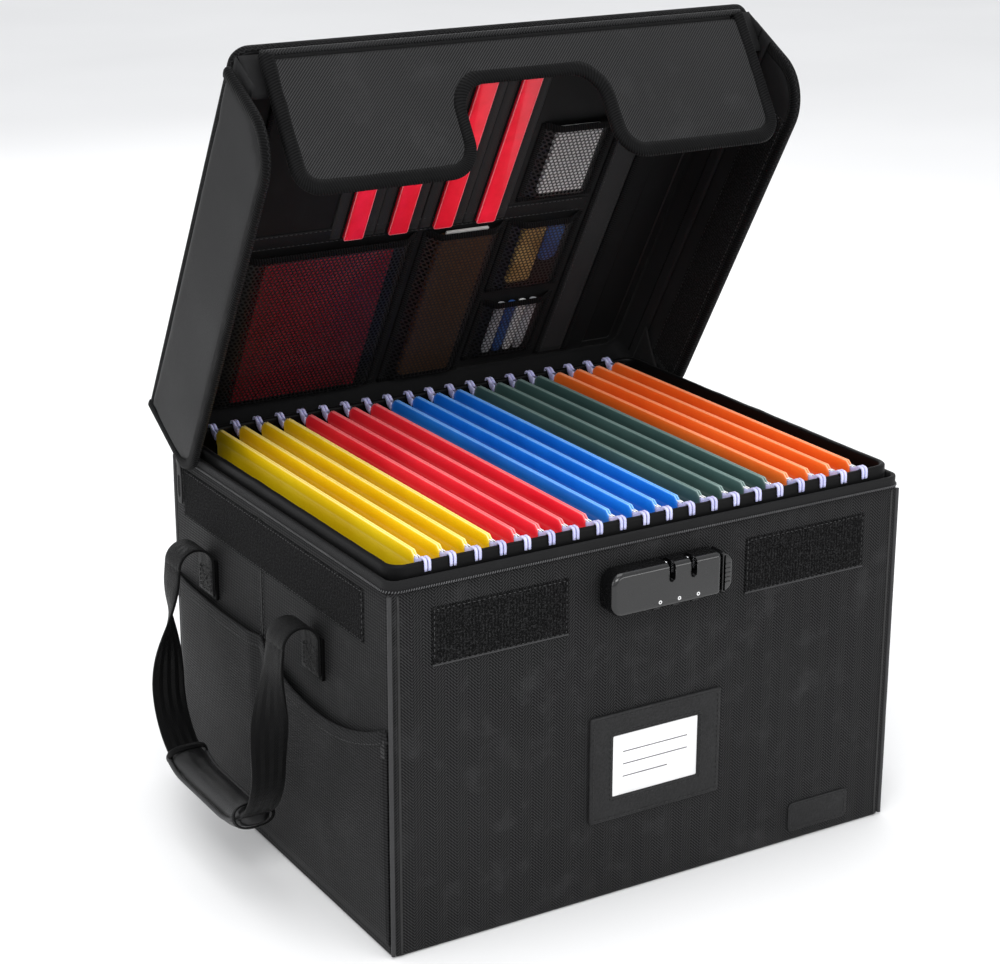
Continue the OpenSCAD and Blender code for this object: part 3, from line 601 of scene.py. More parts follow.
def stitches(path, mat, out, length=2.4e-3, gap=1.4e-3, r=0.26e-3):
    """A run of thread stitches on a path of 3-D points, standing out along out."""
    pts = resample(path, 0.5e-3)
    verts, faces = [], []
    total, last = length_of(pts), len(pts) - 1
    step = total / max(1, last)
    out = Vector(out).normalized()
    for k in range(int(total / (length + gap))):
        start = k * (length + gap) + gap / 2
        a, b = pts[min(last, int(start / step))], pts[min(last, int((start + length) / step))]
        if (b - a).length < 1e-6:
            continue
        side = (b - a).cross(out).normalized()
        rings = []
        for t, w, lift in ((0, 0.25, -0.6), (0.25, 1.0, 0.3), (0.75, 1.0, 0.3), (1, 0.25, -0.6)):
            p = a.lerp(b, t) + out * (lift * r)
            rings.append([p + side * (c * w) + out * (q * w) for c, q in oval(r, r, 6)])
        add_bead(verts, faces, rings)
    return make("stitches", verts, faces, mat, tidy=False)


def add_tooth(verts, faces, centre, slant, out, along):
    """Adds one slanted tooth of a zip's coil."""
    ring = oval(0.5e-3, 0.5e-3, 5)
    add_bead(verts, faces, [[centre + slant * k + (out * c + along * q) * w for c, q in ring]
                            for k, w in ((-1.0, 0.35), (-0.6, 1.0), (0.6, 1.0), (1.0, 0.35))])


TOOTH_PITCH = 1.75e-3


def plate(name, outline, levels, mat, turn=HERE, place=HERE):
    """A plate built up over an outline from (inset, height) levels; turn stands its plane up."""
    normals = outward(outline)
    verts = [turn @ Vector((p[0] - n.x * inset, p[1] - n.y * inset, h))
             for inset, h in levels for p, n in zip(outline, normals)]
    n = len(outline)
    caps = [tuple(range(n - 1, -1, -1)), tuple(range((len(levels) - 1) * n, len(levels) * n))]
    faces = quads(len(levels), n) + caps
    return make(name, verts, faces, mat, place)


def frame_plate(outer, inner, t, turn, mat):
    """A flat frame with rounded edges; outer and inner are outlines of equal length."""
    verts = []
    for outline, sign, levels in (
            (outer, -1, ((0, 0), (0, t * 0.55), (0.25 * t, t * 0.9), (0.9 * t, t))),
            (inner, 1, ((0.9 * t, t), (0.25 * t, t * 0.9), (0, t * 0.55), (0, t * 0.3)))):
        for d, h in levels:
            verts += [turn @ Vector((p[0] + sign * n.x * d, p[1] + sign * n.y * d, h))
                      for p, n in zip(outline, outward(outline))]
    return make("frame", verts, quads(8, len(outer)), mat)


def round_levels(t, r, low=0.0):
    """Levels of a plate of thickness t whose upper edge is rounded by r."""
    angles = [PI / 8 * i for i in range(1, 5)]
    foot = low + t - r
    return [(0.0, low), (0.0, foot)] + [(r * (1 - math.cos(a)), foot + r * math.sin(a)) for a in angles]


def on_front(y):
    """Stands an outline up: x to the right, y up, height towards the front."""
    return Matrix(((1, 0, 0, 0), (0, 0, -1, y), (0, 1, 0, 0), (0, 0, 0, 1)))


def on_side(x, sign):
    """Stands an outline up: x towards the back, y up, height outwards from the right (+1) or left side."""
    return Matrix(((0, 0, sign, x), (1, 0, 0, 0), (0, 1, 0, 0), (0, 0, 0, 1)))


def inflate(ob, voxel, cap, pressure=4.0, frames=20):
    """Puffs a closed soft form up with cloth pressure, moving no point further than cap."""
    modify(ob, "REMESH", mode="VOXEL", voxel_size=voxel)
    start = [v.co.copy() for v in ob.data.vertices]
    m = ob.modifiers.new("cloth", "CLOTH")
    for k, v in dict(quality=4, mass=0.3, tension_stiffness=12, compression_stiffness=12,
                     bending_stiffness=0.6, use_pressure=True, uniform_pressure_force=pressure).items():
        setattr(m.settings, k, v)
    m.settings.effector_weights.gravity = 0
    m.collision_settings.use_collision = False
    scene = bpy.context.scene
    m.point_cache.frame_start, m.point_cache.frame_end = 1, frames
    for f in range(1, frames + 1):
        scene.frame_set(f)
    shaped = ob.evaluated_get(bpy.context.evaluated_depsgraph_get()).data
    moved = [v.co.copy() for v in shaped.vertices]
    ob.modifiers.clear()
    scene.frame_set(1)
    for v, a, b in zip(ob.data.vertices, start, moved):
        d = b - a
        if d.length > cap:
            d = d.normalized() * cap
        v.co = a + d
    return modify(ob, "SMOOTH", factor=0.5, iterations=3)


def repaint(mat, *nodes):
    """Gives carried-over CAD nodes a better material."""
    for node in nodes:
        for s in frame["nodes"][node].material_slots:
            s.link = "OBJECT"
            s.material = mat


# ------------------------------------------------------------ case

def case_cloth():
    """The cloth walls and bottom: slightly slack panels, creased down the middle of each side."""
    foot, walls = 3e-3, 26
    base = rounded_rect(2 * CASE_X, 2 * CASE_Y, 5.5e-3, 6, 30)
    normals = outward(base)
    levels = [(foot * (1 - math.sin(PI / 8 * i)), foot * (1 - math.cos(PI / 8 * i))) for i in range(5)]
    levels += [(0.0, foot + (CASE_H - 0.3e-3 - foot) * i / walls) for i in range(1, walls + 1)]
    levels += [(0.5e-3, CASE_H), (1.2e-3, CASE_H - 0.3e-3), (1.2e-3, 6e-3)]
    verts = []
    for inset, z in levels:
        for p, n in zip(base, normals):
            on_side_wall = abs(n.x) > 0.99
            along = p[1] / CASE_Y if on_side_wall else p[0] / CASE_X
            out = -inset
            if inset == 0.0 and (on_side_wall or abs(n.y) > 0.99):
                slack = math.sin(PI * min(1.0, max(0.0, z / CASE_H))) * max(0.0, 1 - along ** 2)
                out += (0.3e-3 * noise.noise(Vector((p[0], p[1], z)) * 16.0) - 0.35e-3) * slack
            if inset == 0.0 and on_side_wall:
                out -= 0.9e-3 * math.exp(-((p[1] - CREASE_Y) / 2.2e-3) ** 2)
            verts.append(Vector((p[0] + n.x * out, p[1] + n.y * out, z)))
    n = len(base)
    faces = quads(len(levels), n) + [tuple(range(n - 1, -1, -1))]
    ob = make("case_cloth", verts, faces, [M_FRONT, M_SIDE], tidy=False)
    for f in ob.data.polygons:
        f.material_index = 1 if abs(f.normal.x) > 0.8 else 0
    settle(ob, "case", ("outer_shell", "bottom_cloth"))


def side_creases():
    """The cord in each side's crease, and a seam on both sides of it."""
    seams, cords = [], []
    for s, _ in SIDES:
        for dy in (-3e-3, 3e-3):
            path = [Vector((s * (CASE_X + 0.1e-3), CREASE_Y + dy, z)) for z in (8e-3, CASE_H - 6e-3)]
            seams.append(stitches(path, M_THREAD, X * s, 2.2e-3, 1.6e-3, 0.24e-3))
        x = s * (CASE_X + 0.15e-3)
        frames = line(Vector((x, CREASE_Y, 6e-3)), Vector((x, CREASE_Y, CASE_H - 6e-3)), 40, X * s, Y)
        cords.append(sweep("crease", frames, oval(0.25e-3, 0.7e-3, 8), M_GROOVE))
    settle(seams, "case", name="side_crease_stitching")
    settle(cords, "case", name="side_creases")


def corner_trim():
    """Piping up each corner, with the dark seam beside it."""
    low, high = 2e-3, CASE_H - 1.5e-3
    pipes, seams = [], []
    for sx in (-1, 1):
        for sy in (-1, 1):
            out, side = Vector((sx, sy, 0)).normalized(), Vector((-sy, sx, 0)).normalized()
            frames = []
            for i in range(61):
                z = low + (high - low) * i / 60
                wobble = 0.12e-3 * noise.noise(Vector((sx * 3.0, sy * 5.0, z * 30)))
                centre = Vector((sx * (CASE_X - 1.9e-3), sy * (CASE_Y - 1.9e-3), z))
                frames.append((centre + out * (1.35e-3 + wobble), out, side))
            pipes.append(sweep("pipe", frames, oval(1.55e-3, 1.55e-3), M_PIPING))
            x, y = sx * (CASE_X - 6.4e-3), sy * (CASE_Y + 0.15e-3)
            frames = line(Vector((x, y, low)), Vector((x, y, high)), 30, Y * sy, X)
            seams.append(sweep("seam", frames, oval(0.4e-3, 1e-3, 8), M_GROOVE))
    settle(pipes, "case", ("corner_piping",), "corner_piping_cords")
    settle(seams, "case", name="corner_seams")


def rim():
    """The padded rim: a rounded wall with round corners."""
    frames = around(rounded_rect(2 * RIM.x, 2 * RIM.y, 13e-3, 10, 60))
    t, foot, top = 4e-3, CASE_H - 3e-3, RIM.z
    profile = [(0.0, foot), (0.15e-3, foot + 6e-3), (0.0, top - 2.4e-3)]
    for i in range(1, 8):
        a = PI * i / 8
        profile.append((t / 2 * (math.cos(a) - 1), top - 2.2e-3 + 2.2e-3 * math.sin(a)))
    profile += [(-t, top - 2.4e-3), (-t, foot)]

    def uneven(i, a, b):
        p = frames[i][0]
        lift = 0.5e-3 * noise.noise(p * 45.0) if b > top - 3e-3 else 0.0
        flat = 0.3e-3 if b > top - 1e-3 else 0
        return a + 0.18e-3 * noise.noise(p * 60.0 + Z * (b * 90)), b + lift - flat

    settle(sweep("rim_pad", frames, profile, M_RIM, True, uneven), "case", ("rim_collar",))


def rails():
    """The steel strips inside the rim that the folder hooks hang on, clear of its round corners."""
    low, high = box("hanging_rails")
    half, z = RIM.x - 16e-3, (low.z + high.z) / 2
    depth = min(high.z - low.z, 12e-3) / 2
    strips = []
    for s in (-1, 1):
        y = s * (RIM.y - 2e-3)
        frames = line(Vector((-half, y, z)), Vector((half, y, z)), 20, Y)
        strips.append(sweep("rail", frames, oval(0.7e-3, depth, power=0.3), M_STEEL))
    settle(strips, "case", ("hanging_rails",), "rim_rails", angle=40)


def zip_track():
    """Zip tape round the rim with its coil of slanted teeth along the lower edge."""
    low, high = box("body_zipper")
    z0, z1 = low.z, high.z
    path = rounded_rect(2 * CASE_X + 0.8e-3, 2 * CASE_Y + 0.8e-3, 9e-3, 12, 60)
    profile = [(0.3e-3, z0), (0.6e-3, z0 + 1.6e-3), (0.4e-3, z0 + 4e-3), (0.5e-3, z1 - 1.6e-3),
               (0.3e-3, z1 - 0.4e-3), (-0.4e-3, z1), (-2.6e-3, z1 - 0.6e-3), (-2.6e-3, z0)]
    settle(sweep("zip_welt", around(path), profile, M_TAPE, True), "case", ("body_zipper",))
    fine = resample([Vector(p) for p in path], TOOTH_PITCH, True)
    verts, faces = [], []
    for p, n in zip(fine, outward(fine)):
        if p.y > CASE_Y - 2e-3:
            continue
        along, out = Vector((-n.y, n.x, 0)), Vector((n.x, n.y, 0))
        centre = Vector((p.x, p.y, z0 + 1.15e-3)) + out * 1e-3
        add_tooth(verts, faces, centre, Z * 0.85e-3 + along * 0.42e-3, out, along)
    settle(make("zip_coil", verts, faces, M_COIL, tidy=False), "case")
    cord = sweep("zip_welt_cord", around(path, z1 - 1.2e-3), oval(0.4e-3, 0.5e-3, 8, a0=0.1e-3), M_TAPE, True)
    settle(cord, "case")


def pile_patch(name, area, turn, body, replaces=(), place=HERE, thick=1.15e-3, hem=False):
    """A hook-and-loop patch: an uneven pile with a flat stitched border, and a pale hem if asked.
    area is (u0, v0, u1, v1) in the plane of turn."""
    u0, v0, u1, v1 = area
    border = 2.4e-3
    nu, nv = (max(4, round(size / 2.6e-3)) for size in (u1 - u0, v1 - v0))
    verts = []
    for j in range(nv + 1):
        for i in range(nu + 1):
            u, v = u0 + (u1 - u0) * i / nu, v0 + (v1 - v0) * j / nv
            edge = min(u - u0, u1 - u, v - v0, v1 - v)
            rise = thick * (0.35 if edge < 0.2e-3 else 0.55 if edge < border else 1.0)
            rise += 0.16e-3 * noise.noise(Vector((u, v, 0.3)) * 420.0) * (edge > border)
            verts.append(turn @ Vector((u, v, rise)))
    row = nu + 1
    faces = quads(nv + 1, row, False)
    loop = (list(range(row)) + [j * row + nu for j in range(1, nv + 1)]
            + [nv * row + i for i in range(nu - 1, -1, -1)] + [j * row for j in range(nv - 1, 0, -1)])
    base, m = len(verts), len(loop)
    for k in loop:
        p = turn.inverted() @ verts[k]
        verts.append(turn @ Vector((p.x, p.y, 0.0)))
    faces += [(loop[(k + 1) % m], loop[k], base + k, base + (k + 1) % m) for k in range(m)]
    faces.append(tuple(range(base, base + m)))
    basis = turn.to_3x3()
    a, b, c, d = u0 + 1.5e-3, v0 + 1.5e-3, u1 - 1.5e-3, v1 - 1.5e-3
    path = [turn @ Vector((u, v, thick * 0.62)) for u, v in ((a, b), (c, b), (c, d), (a, d), (a, b))]
    parts = [make(name, verts, faces, M_PILE, place),
             stitches(path, M_THREAD, basis @ Z, 2.4e-3, 1.3e-3, 0.3e-3)]
    if hem:
        ends = [turn @ Vector((u, v0 + 0.5e-3, thick * 0.5)) for u in (u0, u1)]
        roll = line(*ends, 20, basis @ Y, basis @ Z)
        parts.append(sweep("roll", roll, oval(0.7e-3, 0.65e-3, 10), M_PIPING))
    settle(parts, body, replaces, name, angle=50)


def loop_patches():
    low, high = box("front_loop_patches")
    inner = min(abs(p.x) for p in node_points("front_loop_patches"))
    nodes = ("front_loop_patches",)
    for side, x0, x1, nodes in (("left", -high.x, -inner, ()), ("right", inner, high.x, nodes)):
        pile_patch("loop_patch_" + side, (x0, low.z, x1, high.z), on_front(high.y), "case", nodes, hem=True)
    low, high = box("side_loop_strips")
    for s, side in SIDES:
        turn = on_side(s * (CASE_X + 0.05e-3), s)
        pile_patch("loop_strip_" + side, (low.y, low.z, high.y, high.z), turn, "case",
                   ("side_loop_strips",) if s > 0 else ())


def side_pockets():
    """The slip pockets, caught up at the crease and sagging beside it, with their hems and bars."""
    low, high = box("side_pockets")
    reach, z0, end_z = high.y - 0.5e-3, low.z, high.z
    nu, nv = 64, 22

    def top(y):
        front = y < CREASE_Y
        s = (CREASE_Y - y) / (CREASE_Y + reach) if front else (y - CREASE_Y) / (reach - CREASE_Y)
        return end_z - 4 * s * (1 - s) * (22e-3 if front else 3e-3)

    for s, side in SIDES:
        out = X * s

        def cloth_point(i, j):
            y, v = -reach + 2 * reach * i / nu, j / nv
            z = z0 + (top(y) - z0) * v
            across = max(0.0, 1 - (y / reach) ** 2) ** 0.35
            caught = 1 - 0.75 * math.exp(-((y - CREASE_Y) / 7e-3) ** 2) if v > 0.3 else 1.0
            belly = math.sin(PI * min(1.0, v * 1.12) * 0.5) ** 0.8
            stand = (0.9 + 3.9 * across * belly * caught) * 1e-3
            folds = 0.55e-3 * noise.noise(Vector((y * 26.0, z * 12.0, 4.0 * s))) * across
            return Vector((s * (CASE_X + stand + folds), y, z))

        sheet, verts = grid("side_pocket_" + side, nu, nv, cloth_point, M_SIDE, 0.9e-3, float(s))
        edge = verts[nv * (nu + 1):]
        frames = []
        for i, p in enumerate(edge):
            t = (edge[min(nu, i + 1)] - edge[max(0, i - 1)]).normalized()
            frames.append((p - Z * 3.2e-3 - out * 0.3e-3, out, t.cross(out).normalized() * s))
        seam = [f[0] + Vector((s * 1.05e-3, 0, -3.4e-3)) for f in frames]
        trim = [sweep("hem", frames, oval(1.15e-3, 4.6e-3, 14, power=0.7), M_SIDE),
                stitches(seam, M_THREAD, out, 2.4e-3, 1.5e-3, 0.28e-3)]
        for end in (-1, 1):
            y = end * (reach - 2.5e-3)
            for k in range(-2, 3):
                bar = [Vector((s * (CASE_X + 2.3e-3), y + k * 1e-3, top(y) - drop)) for drop in (17e-3, 3e-3)]
                trim.append(stitches(bar, M_THREAD, out, 2.2e-3, 0.4e-3, 0.32e-3))
        settle(sheet, "case", ("side_pockets",) if s > 0 else (), smooth=True)
        trim = settle(trim, "case", name="side_pocket_trim_" + side, smooth=True)
        cut_area = sum(top(-reach + 2 * reach * (i + 0.5) / nu) - z0 for i in range(nu)) * 2 * reach / nu


# ------------------------------------------------------------ handles

WEB_WIDTH, WEB_THICK = 12.3e-3, 0.95e-3
WEB = [(WEB_WIDTH * a, WEB_THICK * b) for a, b in
       ((-1, -0.5), (-0.97, -1), (-0.5, -1), (0, -1), (0.5, -1), (0.97, -1), (1, -0.5),
        (1, 0.5), (0.97, 1), (0.5, 1), (0, 1), (-0.5, 1), (-0.97, 1), (-1, 0.5))]
BEND = 12.8e-3


def handle_tabs(s, side, pivot, low, high, span):
    """The sewn tabs, their box stitches, and the rolled bends that ease between case and handle."""
    tabs = []
    wall_x = s * (abs(pivot.x) - BEND)
    face, z0, z1 = wall_x + s * 1e-3, pivot.z - 22e-3, pivot.z - 5e-3
    for end, place in ((-1, "front"), (1, "back")):
        y = pivot.y + end * span
        outline = rounded_rect(23.4e-3, high.z - low.z, 1.5e-3, 3, 3, y, (low.z + high.z) / 2)
        tabs.append(plate("tab", outline, round_levels(2.3e-3, 0.7e-3), M_TAB, on_side(s * CASE_X, s)))
        y0, y1 = y - 9e-3, y + 9e-3
        path = [Vector((face, a, b)) for a, b in
                ((y0, z0), (y1, z0), (y1, z1), (y0, z1), (y0, z0), (y1, z1), (y1, z0), (y0, z1))]
        tabs += [stitches(pair, M_GROOVE, X * s, 2.2e-3, 1.2e-3, 0.3e-3) for pair in zip(path, path[1:])]
        frames = [(Vector((wall_x, y, pivot.z + i * 4e-3)), Y, X * -s) for i in range(-6, 0)]
        for i in range(21):
            a = PI - PI * i / 20
            out = Vector((s * math.cos(a), 0, math.sin(a)))
            frames.append((Vector((pivot.x, y, pivot.z)) + out * BEND, Y, out))
        bend = smooth_all(sweep(side + "_strap_bend_" + place, frames, WEB, M_WEB))
        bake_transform(bend)
    settle(tabs, "case", ("handle_tabs",) if s > 0 else (), side + "_handle_tabs")


def handle(s, side):
    """Rolled straps, twisted webbing and padded grip of one handle."""
    body = side + "_handle"
    pivot = Vector(joints[body + "_swing"]["pos_m"])
    t_low, t_high = box("handle_tabs")
    span = (t_high.y - t_low.y - 24e-3) / 2
    handle_tabs(s, side, pivot, t_low, t_high, span)
    g_low, g_high = box(body + "_grip")
    grip_z = (g_low.z + g_high.z) / 2 - 1e-3
    drop = pivot.z - grip_z
    lean = (abs((g_low.x + g_high.x) / 2) - abs(pivot.x) - BEND) / drop

    # one length of webbing from strap to strap, turning edge-on to the wall on its way down
    r = 52e-3
    outline = [(-span, -(drop - r) * i / 16) for i in range(16)]
    outline += arc_points(-span + r, -(drop - r), r, 180, 270, 16)
    outline += [(-span + r + 2 * (span - r) * i / 12, -drop) for i in range(1, 12)]
    outline += arc_points(span - r, -(drop - r), r, 270, 360, 16)
    outline += [(span, -(drop - r) * (1 - i / 16)) for i in range(1, 17)]

    def hang(points):
        """(point, direction, depth, y) along the handle's outline, before its own bow."""
        for i, (y, z) in enumerate(points):
            a, b = points[max(0, i - 1)], points[min(len(points) - 1, i + 1)]
            p = Vector((s * (abs(pivot.x) + BEND - lean * z), pivot.y + y, pivot.z + z))
            yield p, Vector((0, b[0] - a[0], b[1] - a[1])).normalized(), -z, y

    frames = []
    for p, t, depth, y in hang(outline):
        turn = min(1.0, max(0.0, (depth - 8e-3) / 82e-3))
        turn = turn * turn * (3 - 2 * turn) * PI / 2
        bow = 3e-3 * math.sin(PI * min(1.0, depth / drop))
        wide = Y * (math.cos(turn) if y < 0 else -math.cos(turn)) + X * (s * math.sin(turn))
        wide = (wide - t * wide.dot(t)).normalized()
        frames.append((p + X * (s * bow), wide, t.cross(wide).normalized()))
    settle(sweep(body + "_webbing", frames, WEB, M_WEB), body, (body + "_strap",), smooth=True)

    # padded sleeve
    sleeve = [q for q in outline if abs(q[0]) < 62e-3]
    frames = [(p, X, t.cross(X).normalized()) for p, t, _, _ in hang(sleeve)]

    def taper(i, a, b):
        k = 0.8 + 0.2 * min(1.0, min(i, len(frames) - 1 - i) / 2.0)
        return a * k, b * k

    pad = sweep(side + "_grip_pad", frames, oval(14.2e-3, 7.4e-3, 20, power=0.82), M_GRIP, shape=taper)
    inflate(pad, 3.2e-3, 1.6e-3)
    settle(pad, body, (body + "_grip",), smooth=True)
    trim = [sweep("cord", [(p + wide * k, wide, thick) for p, wide, thick in frames[1:-1]],
                  oval(1.5e-3, 1.5e-3, 10), M_PIPING) for k in (-14.4e-3, 14.4e-3)]
    seam = [p + thick * (7.9e-3 if thick.z < 0 else -7.9e-3) for p, _, thick in frames[2:-2]]
    trim.append(stitches(seam, M_THREAD, -Z, 2.6e-3, 1.4e-3, 0.32e-3))
    for p, wide, thick in (frames[1], frames[-2]):
        spokes = [wide * a + thick * b for a, b in oval(14.6e-3, 8.2e-3, 24, power=0.82)]
        cuff = [(p + d, d.normalized(), wide.cross(thick).normalized()) for d in spokes]
        trim.append(sweep("cuff", cuff, oval(0.9e-3, 2.6e-3, 8), M_WEB, True))
    settle(trim, body, name=side + "_grip_trim")


# ------------------------------------------------------------ front pieces

def stitched_loop(w, d, r, corner, side, cx, cz, turn, height, length, gap, thick):
    """Dark stitching round a rounded rectangle on a front piece."""
    loop = rounded_rect(w, d, r, corner, side, cx, cz)
    path = [turn @ Vector((*p, height)) for p in loop + loop[:1]]
    return stitches(path, M_GROOVE, -Y, length, gap, thick)


def label():
    """The card holder with its window, and the card with ruled lines."""
    low, high = box("label_holder")
    w, _, h = high - low
    cx, _, cz = (low + high) / 2
    turn = on_front(high.y)
    win_w, win_h = 68e-3, 44e-3
    outer, inner = rounded_rect(w, h, 2.5e-3, 5, 12, cx, cz), rounded_rect(win_w, win_h, 1e-3, 5, 12, cx, cz)
    parts = [frame_plate(outer, inner, 2e-3, turn, M_LEATHER)]
    for dw, dh in ((w - 5e-3, h - 5e-3), (win_w + 5e-3, win_h + 5e-3)):
        parts.append(stitched_loop(dw, dh, 2e-3, 4, 6, cx, cz, turn, 2e-3, 2.5e-3, 1.3e-3, 0.42e-3))
    ends = [turn @ Vector((cx + s * (win_w / 2 + 3e-3), cz + win_h / 2 + 0.8e-3, 1.2e-3)) for s in (-1, 1)]
    parts.append(sweep("lip", line(*ends, 20, Z, -Y), oval(0.8e-3, 1e-3, 10), M_LEATHER))
    settle(parts, "case", ("label_holder",), "label_frame")

    low, high = box("label_card")
    outline = rounded_rect(high.x - low.x, high.z - low.z, 1.5e-3, 4, 1, cx, (low.z + high.z) / 2)
    parts = [plate("card", outline, [(0, 0), (0, 0.35e-3), (0.15e-3, 0.5e-3)], M_WHITE, on_front(high.y))]
    for k, length in enumerate((52e-3, 52e-3, 36e-3)):
        bar = rounded_rect(length, 0.9e-3, 0.4e-3, 3, 1, cx - 26e-3 + length / 2, cz + (9 - 9 * k) * 1e-3)
        parts.append(plate("rule", bar, [(0, 0), (0.05e-3, 0.06e-3)], M_INK, on_front(low.y)))
    settle(parts, "label_card", ("label_card",), "label_insert")

    low, high = box("corner_patch")
    w, _, h = high - low
    cx, _, cz = (low + high) / 2
    turn = on_front(high.y)
    outline = rounded_rect(w, h, 4e-3, 6, 8, cx, cz)
    patch = plate("patch", outline, round_levels(1.15e-3, 0.6e-3), M_LEATHER, turn)
    seam = stitched_loop(w - 4e-3, h - 4e-3, 3e-3, 6, 6, cx, cz, turn, 1.15e-3, 2e-3, 1.1e-3, 0.38e-3)
    settle([patch, seam], "case", ("corner_patch",), "blank_patch")


def lock():
    """The lock case with its two pin slots and three dial marks, and the release."""
    low, high = box("lock_housing")
    w, t, h = high - low
    cx, _, cz = (low + high) / 2
    turn = on_front(high.y)
    dials = [box(n) for n in ("dial_left", "dial_middle", "dial_right")]
    # round at its left end, nearly square where the release meets it
    outline = []
    for sx, sz, r, start in ((1, -1, 3.6e-3, -90), (1, 1, 3.6e-3, 0), (-1, 1, 9e-3, 90), (-1, -1, 9e-3, 180)):
        outline += arc_points(cx + sx * (w / 2 - r), cz + sz * (h / 2 - r), r, start, start + 90, 12)
    dome = 4.2e-3
    levels = [(0.8e-3, 0), (0, 0.8e-3), (0, t - dome)]
    for i in range(1, 9):
        a = PI / 16 * i
        levels.append((dome * (1 - math.cos(a)) * 0.8, t - dome + dome * math.sin(a)))
    body = plate("lock", outline, levels, M_LOCK, turn)
    rims = []
    for x in (-1.5e-3, 15.5e-3):
        slot_path = rounded_rect(5e-3, 27e-3, 2.45e-3, 8, 1, x, cz + h / 2 + 1e-3)
        cut(body, plate("cutter", slot_path, [(0, t - 12e-3), (0, t + 3e-3)], M_LOCK, turn))
        r, z = 2.65e-3, cz + h / 2
        loop = [(x - r, z - 3.6e-3)] + arc_points(x, z - 10.05e-3, r, 180, 360, 14) + [(x + r, z - 3.6e-3)]
        frames = [(turn @ Vector((*p, t - 0.05e-3)), Vector((p[0] - x, 0, 0)).normalized(), -Y) for p in loop]
        rims.append(sweep("rim", frames, oval(0.28e-3, 0.28e-3, 8), M_LOCK))
        pin = rounded_rect(2.6e-3, 9e-3, 1.2e-3, 5, 1, x, z - 5.4e-3)
        rims.append(plate("pin", pin, round_levels(2.2e-3, 0.8e-3, t - 9e-3), M_CHROME, turn))
    for d_low, d_high in dials:
        size, mid = d_high - d_low, (d_low + d_high) / 2
        window = rounded_rect(size.x + 0.9e-3, size.z + 4e-3, 0.6e-3, 3, 1, mid.x, mid.z - 1.6e-3)
        depth, half = high.y - mid.y, size.y / 2 + 0.5e-3
        cut(body, plate("cutter", window, [(0, depth - half), (0, depth + half)], M_LOCK, turn))
    body.data.materials.clear()
    body.data.materials.append(M_LOCK)
    mark_z = low.z + 5e-3
    marks = []
    for d_low, d_high in dials:
        ring = [(turn @ Vector(((d_low.x + d_high.x) / 2 + 0.95e-3 * c, mark_z + 0.95e-3 * q, t - 0.05e-3)),
                 Vector((c, 0, q)), -Y) for c, q in oval(1, 1, 20)]
        marks.append(sweep("mark", ring, oval(0.42e-3, 0.3e-3, 6), M_MARK, True))
    ends = [turn @ Vector((cx + s * 22e-3, mark_z, t - 0.02e-3)) for s in (-1, 1)]
    marks.append(sweep("line", line(*ends, 12, Z, -Y), oval(0.16e-3, 0.08e-3, 6), M_THREAD))
    settle(body, "case", ("lock_housing",), angle=32)
    settle(rims, "case", name="lock_pin_slots")
    settle(marks, "case", name="lock_dial_marks")

    r_low, r_high = box("lock_release")
    left, right, half = high.x + 0.45e-3, r_high.x, (r_high.z - r_low.z) / 2
    r = 7.4e-3
    outline = [(left, cz - half + 1.5e-3), (left + 1.5e-3, cz - half)]
    outline += arc_points(right - r, cz - half + r + 1e-3, r, -85, 0, 9)
    outline += arc_points(right - r, cz + half - r - 1e-3, r, 0, 85, 9)
    outline += [(left + 1.5e-3, cz + half), (left, cz + half - 1.5e-3)]
    top = t - 0.6e-3
    levels = [(0.5e-3, 0.6e-3), (0, 1.2e-3), (0, top - 2.6e-3), (0.35e-3, top - 1e-3), (1.2e-3, top),
              (2e-3, top + 0.3e-3)]
    parts = [sharpen(plate("key", outline, levels, M_LOCK, turn), 35)]
    for k in range(-2, 3):
        x, z = left + 2.2e-3, cz + k * 3.2e-3
        ends = [turn @ Vector((x + reach, z, top + 0.35e-3)) for reach in (0, (right - left) * 0.45)]
        parts.append(sweep("rib", line(*ends, 6, Z, -Y), oval(0.45e-3, 0.45e-3, 8), M_LOCK_MATT))
    settle(parts, "lock_release", ("lock_release",), "release_button")


def zip_sliders():
    for s, side in SIDES:
        node = "zipper_slider_" + side
        low, high = box(node)
        t, w, h = high - low
        _, cy, cz = (low + high) / 2
        x0 = low.x if s > 0 else high.x
        top = t - 0.7e-3
        outline = rounded_rect(w, h, 2.4e-3, 6, 4, cy, cz)
        body = plate("slider", outline, round_levels(top, 0.8e-3), M_ENAMEL, on_side(x0, s))
        arch = []
        for i in range(11):
            rise = top + 0.9e-3 * math.sin(PI * i / 10)
            arch.append((Vector((x0 + s * rise, cy + (i / 5 - 1) * 4.4e-3, high.z - 1.4e-3)), Z, X * s))
        bridge = sweep("bridge", arch, oval(0.9e-3, 0.5e-3, 10), M_ENAMEL)
        settle([body, bridge], node, (node,), "slider_body_" + side)

        node = "zipper_pull_" + side
        low, high = box(node)
        _, w, h = high - low
        x, cy, cz = (low + high) / 2
        outer, inner = [], []
        for c, q in oval(1, 1, 40):
            squeeze = 0.72 + 0.28 * (0.5 - 0.5 * q)
            outer.append((cy + w / 2 * squeeze * signed_power(c, 0.5), cz + h / 2 * signed_power(q, 0.6)))
            inner.append((cy + 1.9e-3 * signed_power(c, 0.7), cz - 2e-3 + 8.2e-3 * signed_power(q, 0.6)))
        tab = frame_plate(outer, inner, 1.05e-3, on_side(x - s * 0.55e-3, s), M_ENAMEL)
        modify(tab, "SOLIDIFY", thickness=0.12e-3)
        settle(tab, node, (node,), "pull_tab_" + side)


# ------------------------------------------------------------ lid

